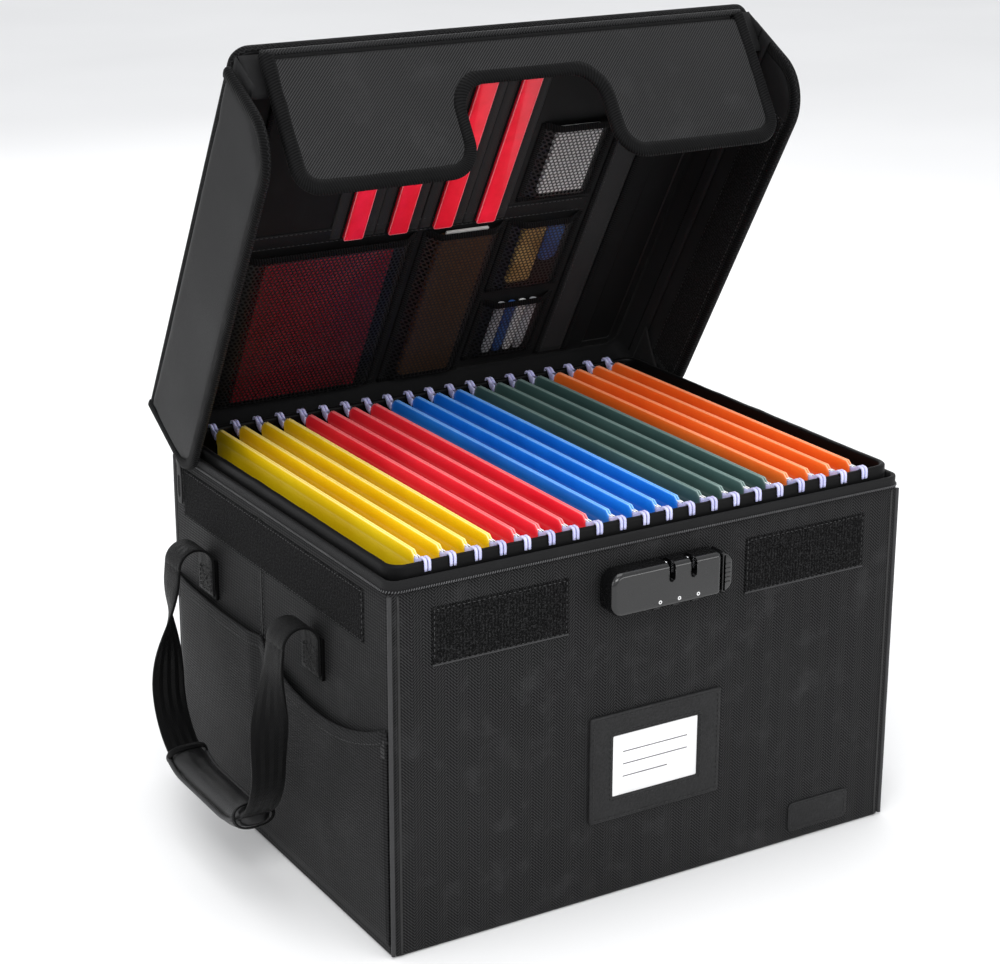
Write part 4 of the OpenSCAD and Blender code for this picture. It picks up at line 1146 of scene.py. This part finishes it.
def lid_shell():
    """Padded cover, its bound edge with a dark cord inside it as painted shade in the groove, and the lining."""
    low, high = shut_box("lid_cover")
    w, d, cy = high.x - low.x, high.y - low.y, (low.y + high.y) / 2
    outline = rounded_rect(w - 1.6e-3, d - 1.6e-3, 12e-3, 9, 24, 0.0, cy)
    pad = plate("lid_pad", outline, [(1.5e-3, low.z + 0.3e-3), (0, low.z + 1.4e-3), (0, high.z - 2.8e-3),
                                     (1.2e-3, high.z - 1.2e-3), (3.5e-3, high.z - 0.7e-3)], M_FLAP)
    inflate(pad, 4.5e-3, 1.6e-3)
    settle(pad, "lid", ("lid_cover",), place=ON_LID, smooth=True)
    edge = rounded_rect(w - 0.4e-3, d - 0.4e-3, 12e-3, 9, 40, 0.0, cy)
    ribbon = [(-8e-3, -1e-3), (-4e-3, -1.3e-3), (-0.8e-3, -1.4e-3), (0.5e-3, -0.6e-3), (0.8e-3, 1.6e-3),
              (0.5e-3, 3.8e-3), (-0.3e-3, 5e-3), (-1.6e-3, 5e-3), (-2.4e-3, 2e-3), (-8e-3, 0.2e-3)]
    bound = sweep("lid_edge_binding", around(edge, low.z + 0.8e-3), ribbon, M_BINDING, True, place=ON_LID)
    settle(bound, "lid")
    # a dark cord laid in the groove inside the binding: painted shade
    groove_shade = sweep("lid_edge_groove", around(edge, low.z - 1.15e-3, 9e-3), oval(0.8e-3, 0.5e-3, 8), M_GROOVE,
                   True, place=ON_LID)
    settle(groove_shade, "lid")

    low, high = shut_box("lid_lining")
    outline = rounded_rect(high.x - low.x, high.y - low.y, 11e-3, 8, 20, 0, (low.y + high.y) / 2)
    levels = [(0, high.z - 0.1e-3), (0, low.z + 0.3e-3), (0.8e-3, low.z)]
    lining = plate("lid_lining_sheet", outline, levels, M_LINING, place=ON_LID)
    settle(lining, "lid", ("lid_lining",))


def coil_row(name, a, b, out):
    """A straight row of slanted zip teeth from a to b."""
    t = (b - a).normalized()
    verts, faces = [], []
    for k in range(int((b - a).length / TOOTH_PITCH)):
        add_tooth(verts, faces, a + t * (TOOTH_PITCH * (k + 0.5)), Z * 1e-3 + t * 0.4e-3, out, t)
    return make(name, verts, faces, M_COIL, tidy=False)


SKIRT_THICK = 1.1e-3


def zip_skirts():
    """The zip tape that hangs from the lid's back and sides, and from the fold at its front."""
    low, high = shut_box("lid_zipper_skirt")
    half, back, r, rows = high.x - 0.75e-3, high.y - 0.75e-3, 10e-3, 8
    path = [(half, low.y)] + arc_points(half - r, back - r, r, 0, 90, 10)
    path += arc_points(r - half, back - r, r, 90, 180, 10) + [(-half, low.y)]
    path = resample(path, 6e-3)

    def hung(i, j):
        p = path[i]
        q = Vector((p.x, p.y, low.z + (high.z - low.z) * j / rows))
        return q + X * (math.copysign(0.18e-3, p.x) * noise.noise(q * 30.0) * math.sin(PI * j / rows))

    skirt, _ = grid("lid_zip_skirt", len(path) - 1, rows, hung, M_TAPE, SKIRT_THICK)
    trims = []
    for s in (-1, 1):
        x, z = s * half, low.z + 1.4e-3
        trims.append(coil_row("coil", Vector((x, low.y + 2e-3, z)), Vector((x, back - r, z)), X * s))
        x, z = x - s * 0.3e-3, low.z + 11e-3
        seam = line(Vector((x, low.y, z)), Vector((x, back - r, z)), 40)
        trims.append(sweep("ridge", seam, oval(0.8e-3, 1e-3, 8), M_BINDING))
    settle(skirt, "lid", ("lid_zipper_skirt",), place=ON_LID)
    trim = settle(trims, "lid", name="lid_zip_trim", place=ON_LID)
    length_of(path)

    low, high = shut_box("front_zipper_skirt", ON_FOLD)
    size, y, nu, nv = high - low, (low.y + high.y) / 2, 90, 8

    def rippled(i, j):
        p = Vector((low.x, y, low.z)) + X * size.x * (i / nu) + Z * size.z * (j / nv)
        return p - Y * 0.16e-3 * noise.noise(p * 30.0 + X * 9.0) * math.sin(PI * j / nv)

    sheet, _ = grid("front_zip_skirt", nu, nv, rippled, M_TAPE, SKIRT_THICK)
    z = low.z + 1.4e-3
    coil = coil_row("front_zip_coil", Vector((low.x + 3e-3, y, z)), Vector((high.x - 3e-3, y, z)), -Y)
    settle(sheet, "front_fold", ("front_zipper_skirt",), place=ON_FOLD)
    settle(coil, "front_fold", place=ON_FOLD)


def gussets():
    """The folded ends of the zip tape that close each back corner between case and lid."""
    reach, nu, nv = 46e-3, 10, 12
    back_y = HINGE.y - 1.5e-3
    for s, side in SIDES:
        x = s * (CASE_X - 0.9e-3)

        def folded(i, j):
            y = back_y - reach * (1 - i / nu)
            low = Vector((x, y, HINGE.z - 1e-3))
            high = ON_LID @ Vector((x + s * 0.6e-3, y, HINGE.z + 2.4e-3))
            pinch = math.sin(PI * j / nv) * (1 - i / nu)
            return low.lerp(high, j / nv) - X * (s * 1.5e-3 * pinch)

        ob, verts = grid("zip_gusset_" + side, nu, nv, folded, M_TAPE)
        cut_length = length_of(verts[::nu + 1])
        modify(ob, "SOLIDIFY", thickness=0.9e-3, offset=0.0)
        smooth_all(ob)
        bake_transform(ob)


# ------------------------------------------------------------ organiser in the lid

DOWN = -Z


def net(x0, x1, y0, y1, height, pitch=3.3e-3, bar=1.15e-3):
    """A hexagonal net over a rectangle, lying at height(x, y)."""
    verts, faces = [], []
    rows = int((y1 - y0) / (pitch * math.sin(PI / 3)))
    cols = int((x1 - x0) / pitch)
    for j in range(rows):
        y = y0 + (y1 - y0) * (j + 0.5) / rows
        for i in range(cols):
            x = x0 + (x1 - x0) * (i + (0.5 if j % 2 else 0.0) + 0.25) / cols
            if x > x1 - pitch * 0.3:
                continue
            faces += quads(2, 6, True, len(verts))
            for r in (pitch / 2 / math.cos(PI / 6), (pitch - bar) / 2 / math.cos(PI / 6)):
                for k in range(6):
                    a = PI / 6 + PI / 3 * k
                    px, py = x + r * math.cos(a), y + r * math.sin(a)
                    verts.append(Vector((px, py, height(px, py))))
    return make("net", verts, faces, M_NET, tidy=False)


def band(x0, y0, x1, y1, z, width, thick, mat):
    """A sewn band lying under height z, between two places on the shut lid."""
    a, b = Vector((x0, y0, z)), Vector((x1, y1, z))
    half = width / 2
    profile = [(-half, 0), (-half * 0.96, thick * 0.7), (-half * 0.8, thick), (0, thick * 1.05),
               (half * 0.8, thick), (half * 0.96, thick * 0.7), (half, 0), (0, -thick * 0.2)]
    wide = DOWN.cross((b - a).normalized()).normalized()
    return sweep("band", line(a, b, max(2, int((b - a).length / 5e-3)), wide, DOWN), profile, mat)


def pocket_boxes():
    """(low, high) of the lid's five pockets, from the CAD mesh's own solids."""
    back = ON_LID.inverted()
    bm = bmesh.new()
    bm.from_mesh(frame["nodes"]["mesh_pockets"].data)
    bmesh.ops.remove_doubles(bm, verts=bm.verts, dist=1e-6)
    seen, boxes = set(), []
    for v in bm.verts:
        if v in seen:
            continue
        stack, group = [v], []
        seen.add(v)
        while stack:
            q = stack.pop()
            group.append(back @ q.co)
            fresh = {e.other_vert(q) for e in q.link_edges} - seen
            seen |= fresh
            stack += fresh
        boxes.append(points_box(group))
    bm.free()
    return sorted(boxes, key=lambda b: (round(b[0].x, 3), -b[0].y))


def pen_spans():
    """(x0, x1) of each pen, from the gaps between the CAD mesh's vertices."""
    spans = []
    for x in sorted({round(p.x, 4) for p in node_points("red_pens", ON_LID)}):
        if spans and not (x - spans[-1][1] > 12e-3 and x - spans[-1][0] > 14.5e-3):
            spans[-1][1] = x
        else:
            spans.append([x, x])
    return spans


def panel(surface, pens, pens_low, pens_high):
    """The panel cloth with its sewn bands and seams; surface is its height on the shut lid."""
    low, high = shut_box("organiser_panel")
    outline = rounded_rect(high.x - low.x, high.y - low.y, 3e-3, 4, 30, 0, (low.y + high.y) / 2)
    parts = [plate("panel", outline, [(0, high.z), (0, surface + 0.3e-3), (0.6e-3, surface)], M_LINING)]

    def seam(x0, y0, x1, y1, lift):
        z = surface - lift
        parts.append(stitches([Vector((x0, y0, z)), Vector((x1, y1, z))], M_THREAD, DOWN))

    # band that holds the pens' lower ends and ties the pockets together
    y = pens_high.y - 6e-3
    parts.append(band(-170e-3, y + 0.5e-3, 118e-3, y + 0.5e-3, surface, 13e-3, 1.2e-3, M_LINING))
    for dy in (-5e-3, 5.5e-3):
        seam(-168e-3, y + dy, 116e-3, y + dy, 1.3e-3)
    # elastic slots beside the pens, and the loop behind each
    far_y = pens_low.y - 4e-3
    for a, b in pens:
        x = (a + b) / 2
        for x_slot in (x - 13.5e-3, x + 13.5e-3):
            parts.append(band(x_slot, pens_high.y - 2e-3, x_slot, far_y, surface, 9e-3, 1.5e-3, M_PANEL))
        parts.append(band(x, pens_high.y - 1.5e-3, x, far_y, surface, 18.5e-3, 0.8e-3, M_LINING))
    # raised seams at both sides, and the smooth strip at the right
    near, far = HINGE.y - 6e-3, HINGE.y - 306e-3
    for x, width, thick, mat in ((124e-3, 4e-3, 1.4e-3, M_BINDING), (150e-3, 5e-3, 2.2e-3, M_BINDING),
                                 (-166.5e-3, 4e-3, 1.4e-3, M_BINDING), (137e-3, 23e-3, 0.9e-3, M_PANEL)):
        parts.append(band(x, near, x, far, surface, width, thick, mat))
    for x in (128e-3, 145.5e-3):
        seam(x, near, x, far, 1e-3)
    settle(parts, "lid", ("organiser_panel",), "organiser_cloth", ON_LID)


def red_pens(pens, low, high):
    reds = []
    near, far = high.y - 2e-3, low.y
    levels = [(0.4e-3, high.z - 0.9e-3), (0, high.z - 1.4e-3), (0, low.z + 1.6e-3), (0.3e-3, low.z + 0.7e-3),
              (0.7e-3, low.z + 0.25e-3), (1.2e-3, low.z + 0.1e-3)]
    for a, b in pens:
        outline = rounded_rect(b - a, near - far, 1.4e-3, 4, 10, (a + b) / 2, (near + far) / 2)
        reds.append(plate("pen", outline, levels, M_RED))
        # a pale cord round each pen's rim is a painted highlight along its edge
        highlight_rim = around(outline, low.z + 1.1e-3)
        reds.append(sweep("edge", highlight_rim, oval(0.35e-3, 0.5e-3, 6), M_PEN_RIM_HIGHLIGHT, True))
    settle(reds, "lid", ("red_pens",), "red_pen_strips", ON_LID, 50)


def nets(boxes, surface):
    """The five net pockets with their bound edges."""
    def ease(distance, ramp):
        t = min(1.0, max(0.0, distance / ramp))
        return t * t * (3 - 2 * t)

    parts = []
    for lo, hi in boxes:
        cx, hw = (lo.x + hi.x) / 2, (hi.x - lo.x) / 2
        depth = hi.z - lo.z - 0.6e-3

        def drape(x, y):
            return surface - 0.4e-3 - depth * 0.93 * ease(hw - abs(x - cx), 12e-3) * ease(hi.y - y, 6e-3)

        parts.append(net(lo.x + 1e-3, hi.x - 1e-3, lo.y + 1e-3, hi.y - 1e-3, drape))
        for x in (lo.x, hi.x):
            parts.append(band(x, lo.y, x, hi.y, surface, 5e-3, 1.1e-3, M_BINDING))
        y = hi.y - 1e-3
        parts.append(band(lo.x - 2e-3, y, hi.x + 2e-3, y, surface, 5e-3, 1.2e-3, M_BINDING))
        y = lo.y + 2e-3
        across = [lo.x + 2 * hw * i / 30 for i in range(31)]
        hem = [(Vector((x, y, drape(x, y) - 0.3e-3)), Y, DOWN) for x in across]
        parts.append(sweep("hem", hem, oval(3.2e-3, 0.55e-3, 12, power=0.7), M_BINDING))
    settle(parts, "lid", ("mesh_pockets",), "net_pockets", ON_LID)


def notebook(pocket):
    """Two covers, a spine and the page block, kept behind the net."""
    lo, hi = shut_box("notebook")
    lo.y, hi.y = max(lo.y, pocket[0].y + 6e-3), min(hi.y, pocket[1].y - 8e-3)
    cx, cy, cz = (lo + hi) / 2
    w, d, t = hi - lo
    w -= 14e-3
    cover = rounded_rect(w, d - 1e-3, 2.5e-3, 5, 10, cx, cy)
    block = rounded_rect(w - 5e-3, d - 5e-3, 1e-3, 3, 20, cx + 1.5e-3, cy)
    under = [(0.3e-3, lo.z), (0, lo.z + 0.3e-3), (0, lo.z + 0.9e-3), (0.3e-3, lo.z + 1.1e-3)]
    upper = [(0.3e-3, hi.z - 1.1e-3), (0, hi.z - 0.9e-3), (0, hi.z - 0.3e-3), (0.3e-3, hi.z)]
    parts = [plate("cover", cover, under, M_NOTEBOOK),
             plate("block", block, [(0, lo.z + 1e-3), (0, hi.z - 1e-3)], M_PAGES),
             plate("cover", cover, upper, M_NOTEBOOK)]
    x = cx - w / 2 + 1.2e-3
    spine = line(Vector((x, lo.y + 1e-3, cz)), Vector((x, hi.y - 1e-3, cz)), 12)
    parts.append(sweep("spine", spine, oval(1.3e-3, t / 2 - 0.1e-3, 14), M_NOTEBOOK))
    settle(parts, "lid", ("notebook",), "notebook_book", ON_LID, 45)


def pocket_contents(boxes, surface):
    """A wallet, a roll of sticks, a box with a tin, and cards, in the four smaller pockets."""
    rooms = [(lo + Vector((11e-3, 3e-3, 1.7e-3)), Vector((hi.x - 11e-3, hi.y - 8e-3, surface - 0.4e-3)))
             for lo, hi in boxes]
    things = []

    def slab(w, d, r, corner, side, x, y, levels, mat):
        things.append(plate("slab", rounded_rect(w, d, r, corner, side, x, y), levels, mat))

    lo, hi = rooms[0]
    (w, d, _), (cx, cy, cz) = hi - lo, (lo + hi) / 2
    levels = [(1e-3, hi.z), (0, hi.z - 1e-3), (0, cz + 0.3e-3), (0.6e-3, cz), (0, cz - 0.3e-3),
              (0, lo.z + 1.2e-3), (1e-3, lo.z + 0.2e-3), (2e-3, lo.z)]
    slab(w, d, 4e-3, 6, 8, cx, cy, levels, M_WALLET)
    slab(w - 8e-3, 8e-3, 1e-3, 3, 2, cx, lo.y + 1e-3, [(0, cz + 0.6e-3), (0, cz - 0.6e-3)], M_PAGES)

    lo, hi = rooms[1]
    cz, w = (lo.z + hi.z) / 2, (hi.x - lo.x) / 4
    for i, mat in enumerate((M_GREY, M_BLUE, M_WHITE, M_GREY)):
        x = lo.x + w * (i + 0.5)
        stick = line(Vector((x, lo.y, cz)), Vector((x, hi.y, cz)), 10)
        radii = oval(w / 2 - 0.3e-3, min(w / 2 - 0.3e-3, (hi.z - lo.z) / 2), 14)
        things.append(sweep("stick", stick, radii, mat,
                            shape=lambda q, a, b: (a * 0.7, b * 0.7) if q in (0, 10) else (a, b)))

    lo, hi = rooms[2]
    (w, d, _), cy = hi - lo, (lo.y + hi.y) / 2
    top = [(0.6e-3, hi.z), (0, hi.z - 0.6e-3), (0, lo.z + 0.9e-3)]
    slab(w * 0.52, d * 0.94, 2e-3, 4, 4, lo.x + w * 0.27, cy,
         top + [(0.6e-3, lo.z + 0.2e-3), (2e-3, lo.z)], M_GOLD)
    slab(w * 0.42, d * 0.6, w * 0.18, 7, 4, lo.x + w * 0.77, cy - d * 0.15,
         top + [(1e-3, lo.z + 0.1e-3)], M_BLUE)

    lo, hi = rooms[3]
    (w, d, t), (cx, cy, _) = hi - lo, (lo + hi) / 2
    for i in range(3):
        z, shift = lo.z + t * i / 3, (i - 1) * 1.2e-3
        levels = [(0.1e-3, z + t / 3 - 0.3e-3), (0, z + t / 3 - 0.5e-3), (0, z + 0.3e-3), (0.2e-3, z)]
        slab(w, d, 2e-3, 4, 3, cx + shift * 0.4, cy + shift * 0.5, levels, M_WHITE)
    settle(things, "lid", ("pocket_items",), "pocket_contents", ON_LID, 50)


def organiser():
    """The pocket panel, the pens, the nets, and what they hold."""
    pens, (low, high) = pen_spans(), shut_box("red_pens")
    surface = max(high.z, shut_box("organiser_panel")[0].z) + 0.2e-3
    boxes = pocket_boxes()
    panel(surface, pens, low, high)
    red_pens(pens, low, high)
    nets(boxes, surface)
    notebook(boxes[0])
    pocket_contents(boxes[1:], surface)


# ------------------------------------------------------------ flaps

def flap(node, path, t, turn, place, mat, width=9.5e-3):
    """A padded flap in a folded ribbon: path is its free edge, open and counter-clockwise."""
    inset = 2e-3
    ring = [tuple(p) for p in resample(path, 4e-3, True)]
    levels = [(inset + 1.6e-3, 0.9e-3), (inset, 1.6e-3), (inset, t - 1.6e-3), (inset + 1.6e-3, t - 0.9e-3)]
    pad = plate(node + "_pad", ring, levels, mat, turn)
    modify(pad, "TRIANGULATE")
    inflate(pad, 2.2e-3, 1e-3, 5.0)
    settle(pad, node, (node,), place=place, smooth=True)
    points = resample(path, 2.2e-3)
    basis = turn.to_3x3()
    frames = [(turn @ Vector((p.x, p.y, t / 2)), basis @ Vector((n.x, n.y, 0)), basis @ Z)
              for p, n in zip(points, outward(points, closed=False))]
    h = t / 2 + 0.45e-3
    half = [(-width, h * 0.80), (-width * 0.6, h * 0.98), (-2.2e-3, h), (-0.3e-3, h * 0.75)]
    ribbon = [(a, -b) for a, b in half] + [(0.55e-3, 0.0)] + half[::-1] + [(-width * 0.8, 0.0)]
    settle(sweep(node + "_binding", frames, ribbon, M_BINDING, place=place), node)


def front_flap():
    """The front flap with its notch for the lock, the fold it hangs from, and its hook patches."""
    low, high = shut_box("front_flap", ON_FOLD)
    hw, top, length = high.x, high.z, high.z - low.z
    lobe, inner, notch_r, notch_w, notch_l = 20e-3, 24e-3, 20e-3, 54e-3, 36e-3
    # the free edge from the left top, down and round to the right top
    path = [(-hw, -2.5e-3)]
    for cx, cz, r, a0, a1 in ((lobe - hw, lobe - length, lobe, 180, 270),
                              (-notch_w - inner, inner - length, inner, 270, 360),
                              (notch_r - notch_w, -notch_l - notch_r, notch_r, 180, 90),
                              (notch_w - notch_r, -notch_l - notch_r, notch_r, 90, 0),
                              (notch_w + inner, inner - length, inner, 180, 270),
                              (hw - lobe, lobe - length, lobe, 270, 360)):
        path += arc_points(cx, cz, r, a0, a1, 12)
    path = [(x, top + z) for x, z in path + [(hw, -2.5e-3)]]
    flap("front_flap", path, high.y - low.y, on_front(high.y), ON_FOLD, M_FLAP)
    y, z = (low.y + high.y) / 2, top - 1.4e-3
    roll = line(Vector((2e-3 - hw, y, z)), Vector((hw - 2e-3, y, z)), 60, Y)
    fold = sweep("front_flap_fold", roll, oval(2.5e-3, 2.2e-3, 14), M_FLAP, place=ON_FOLD)
    settle(fold, "front_flap")
    low, high = shut_box("front_flap_hooks", ON_FOLD)
    inner_x = min(abs(p.x) for p in node_points("front_flap_hooks", ON_FOLD))
    turn = Matrix(((1, 0, 0, 0), (0, 0, 1, low.y), (0, 1, 0, 0), (0, 0, 0, 1)))
    for s, side in SIDES:
        a, b = (inner_x, high.x) if s > 0 else (-high.x, -inner_x)
        pile_patch("front_flap_hook_patch_" + side, (a, low.z, b, high.z), turn, "front_flap",
                   ("front_flap_hooks",) if s > 0 else (), ON_FOLD, 1.1e-3)


def side_flap(s, side):
    node = side + "_flap"
    low, high = shut_box(node)
    foot, front_r, back_r = low.z, 34e-3, 22e-3
    path = [(low.y, high.z - 1.5e-3)] + arc_points(low.y + front_r, foot + front_r, front_r, 180, 270, 18)
    path += arc_points(high.y - back_r, foot + back_r, back_r, 270, 360, 10) + [(high.y, high.z - 1.5e-3)]
    flap(node, path, high.x - low.x, on_side(low.x if s > 0 else high.x, s), ON_LID, M_WING, 7.5e-3)
    low, high = shut_box(node + "_hooks")
    turn = on_side(high.x if s > 0 else low.x, -s)
    pile_patch(node + "_hook_strip", (low.y, low.z, high.y, high.z), turn, node, (node + "_hooks",), ON_LID,
               1.1e-3)


# ------------------------------------------------------------ folders

FOLDERS = 4
HOOK_HEIGHTS = (3.4, 3.1, 2.3, 1.3, 0.95, 1.0, 0.95, 0.8)


def hook_line(half_length, top):
    """(y, z, half height in mm) down a hook: over the rim from the card's end, with its corners eased."""
    rim_in, rim_out = RIM.y - 4e-3, RIM.y
    tip_y = box("hooks_red")[1].y
    corners = [(y, top - drop) for y, drop in (
        (half_length - 2e-3, 6.6e-3), (half_length + 2.5e-3, 5.6e-3), (rim_in - 1.6e-3, 3.6e-3),
        (rim_in + 0.2e-3, 1.1e-3), ((rim_in + rim_out) / 2, 0.9e-3), (rim_out + 0.1e-3, 1.2e-3),
        (tip_y - 0.85e-3, 2.8e-3), (tip_y - 0.8e-3, 8.4e-3))]
    points, heights = [], []
    for a, b, ha, hb in zip(corners, corners[1:], HOOK_HEIGHTS, HOOK_HEIGHTS[1:]):
        for q in range(3):
            points.append(Vector(a).lerp(Vector(b), q / 3))
            heights.append(ha + (hb - ha) * q / 3)
    points.append(Vector(corners[-1]))
    heights.append(HOOK_HEIGHTS[-1] * 0.7)
    for _ in range(2):
        eased = [(a + b * 2 + c) / 4 for a, b, c in zip(points, points[1:], points[2:])]
        points = points[:1] + eased + points[-1:]
    return points, heights


def folder_cards(colour, centres, half, bottom, top):
    """The cards of one colour: two panels and a folded head to each hook rod, with a painted highlight along the
    head's crest, and a crease below.
    """
    mat = CARDS[colour]
    lip = [(0.28, -5.2), (0.42, -3.4), (0.66, -1.2), (0.76, 1.0), (0.74, 3.2), (0.6, 4.05), (0.26, 4.5)]
    fold = [(-x * 1e-3, z * 1e-3) for x, z in lip] + [(x * 1e-3, z * 1e-3) for x, z in reversed(lip)]
    nu, nv = 60, 22
    parts = []

    def clipped(y):
        """How far the card's top corner is cut down at y."""
        return max(0.0, abs(y) - half + 4.5e-3) * 0.9

    for cx in centres:
        for s in (-1, 1):
            bend, phase = rng.uniform(0.2, 0.7) * 1e-3 * s, rng.uniform(0, 10)

            def sheet(i, j):
                y, v = -half + 2 * half * i / nu, j / nv
                z = bottom + 0.6e-3 + (top - 3.5e-3 - bottom - clipped(y)) * v
                bulge = bend * s + 0.35e-3 * noise.noise(Vector((y * 14.0, z * 16.0, phase)))
                return Vector((cx + s * (1.25 - 0.4 * v) * 1e-3 + math.sin(PI * v) * bulge, y, z))

            parts.append(grid("panel", nu, nv, sheet, mat, 0.55e-3)[0])
            # the card folded over its rod
            frames = [(Vector((cx + s * 0.85e-3, y, top - 4.6e-3 - clipped(y))), X, Z)
                      for y in (-half + 2 * half * i / nu for i in range(nu + 1))]
            head = sweep("fold", frames, fold, [mat, CARD_CREST_HIGHLIGHTS[colour]])
            # faces along the top of the fold take the paler crest material: a painted highlight
            for f in head.data.polygons:
                f.material_index = 1 if f.center.z > top - clipped(f.center.y) - 0.85e-3 else 0
            parts.append(head)
        ends = [Vector((cx, y, bottom + 1.3e-3)) for y in (-half, half)]
        parts.append(sweep("crease", line(*ends, 16), oval(1.3e-3, 1.1e-3, 10), mat))
    body = "folders_" + colour
    settle(parts, body, (body,), "folder_card_" + colour, angle=48)


def folder_hooks(colour, centres, half, top):
    """The two-pronged plastic hooks at each end of the steel rods, with the web that ties the prongs."""
    z_top = box("hooks_" + colour)[1].z
    points, heights = hook_line(half, z_top)
    parts = []
    for cx in centres:
        for s in (-1, 1):
            for end in (-1, 1):
                path = [Vector((cx + s * 1.35e-3, end * p.x, p.y)) for p in points]
                frames = []
                for i, p in enumerate(path):
                    t = (path[min(len(path) - 1, i + 1)] - path[max(0, i - 1)]).normalized()
                    frames.append((p, X, t.cross(X).normalized()))
                parts.append(sweep("hook", frames, oval(1.02e-3, 1e-3, 10, power=0.75), M_HOOK,
                                   shape=lambda i, a, b: (a, b * heights[i])))
        for end in (-1, 1):
            y, z = end * (half + 2.2e-3), z_top - 5.4e-3
            web = line(Vector((cx - 2e-3, y, z)), Vector((cx + 2e-3, y, z)), 4, Y)
            parts.append(sweep("web", web, oval(2e-3, 1.9e-3, 10, power=0.7), M_HOOK))
        for s in (-1, 1):
            x, z = cx + s * 0.85e-3, top - 5.2e-3
            rod = line(Vector((x, -half, z)), Vector((x, half, z)), 4)
            parts.append(sweep("rod", rod, oval(0.45e-3, 3e-3, 8, power=0.7), M_STEEL))
    settle(parts, "folders_" + colour, ("hooks_" + colour,), "folder_hooks_" + colour,
           smooth=True)


def folders(colour):
    low, high = box("folders_" + colour)
    edge = 3.3e-3
    pitch = (high.x - low.x - 2 * edge) / (FOLDERS - 1)
    centres = [low.x + edge + pitch * k for k in range(FOLDERS)]
    folder_cards(colour, centres, high.y - 2.5e-3, low.z, high.z)
    folder_hooks(colour, centres, high.y, high.z)


# ------------------------------------------------------------ build

case_cloth()
side_creases()
corner_trim()
rim()
zip_track()
loop_patches()
side_pockets()
for s, side in SIDES:
    handle(s, side)
label()
lock()
zip_sliders()
lid_shell()
zip_skirts()
gussets()
organiser()
front_flap()
for s, side in SIDES:
    side_flap(s, side)
for colour in CARDS:
    folders(colour)
rails()
repaint(M_BOARD, "base_board", "front_board", "back_board", "left_boards", "right_boards", "lid_board")
repaint(M_LINING, "inner_liner")
repaint(M_LOCK_MATT, "lock_backplate", "dial_left", "dial_middle", "dial_right")
repaint(M_STEEL, "dial_spindle")


# ------------------------------------------------------------ floor, light and camera

def area_light(name, place, target, size, power):
    data = bpy.data.lights.new(name, "AREA")
    data.shape = "RECTANGLE"
    data.size, data.size_y = size
    data.energy = power
    ob = add_object(name, data, HERE)
    ob.location = place
    ob.rotation_euler = (Vector(target) - Vector(place)).to_track_quat("-Z", "Y").to_euler()


def studio():
    """A pale floor, a bright world and soft lights."""
    g = Graph("pale_floor")
    tone = g.ramp(g.noise(1.4, 2.0), 0.3, 0.7)
    mat = g.finish(g.mix(tone, (0.80, 0.80, 0.80), (0.84, 0.84, 0.84)), 0.85)
    corners = [(-30, -30, 0), (30, -30, 0), (30, 30, 0), (-30, 30, 0)]
    make("studio_floor", corners, [(0, 1, 2, 3)], mat, tidy=False)
    world = bpy.data.worlds.new("studio")
    world.use_nodes = True
    background = world.node_tree.nodes["Background"]
    background.inputs[0].default_value = (0.97, 0.98, 1.0, 1)
    background.inputs[1].default_value = 0.95
    bpy.context.scene.world = world
    area_light("key", (-1.3, -1.7, 2.0), (0, 0, 0.2), (1.4, 1.0), 34)
    area_light("front", (0.9, -2.3, 0.9), (0.05, 0, 0.15), (1.6, 0.8), 16)
    area_light("left", (-2.3, 0.1, 0.9), (-0.2, 0, 0.2), (1.2, 1.2), 10)
    area_light("top", (0.1, 0.2, 2.4), (0, 0, 0.2), (1.6, 1.6), 18)
    area_light("back", (0.6, 2.2, 1.4), (0, 0, 0.3), (1.4, 1.0), 12)


def camera():
    azimuth, elevation, roll = (math.radians(a) for a in (-29.85, 17.86, -0.27))
    back = Vector((math.sin(azimuth) * math.cos(elevation), -math.cos(azimuth) * math.cos(elevation),
                   math.sin(elevation)))
    right = (-back).cross(Z).normalized()
    turn = Matrix((right, right.cross(-back).normalized(), back)).transposed() @ Matrix.Rotation(roll, 3, "Z")
    data = bpy.data.cameras.new("camera")
    data.sensor_width, data.lens, data.clip_end = 36, 83.6, 100
    data.shift_x, data.shift_y = 0.054, -0.044
    place = Matrix.Translation((-0.8218, -1.3172, 0.7729)) @ turn.to_4x4()
    bpy.context.scene.camera = add_object("camera", data, place)


studio()
camera()
bpy.context.scene.view_settings.view_transform = "Standard"
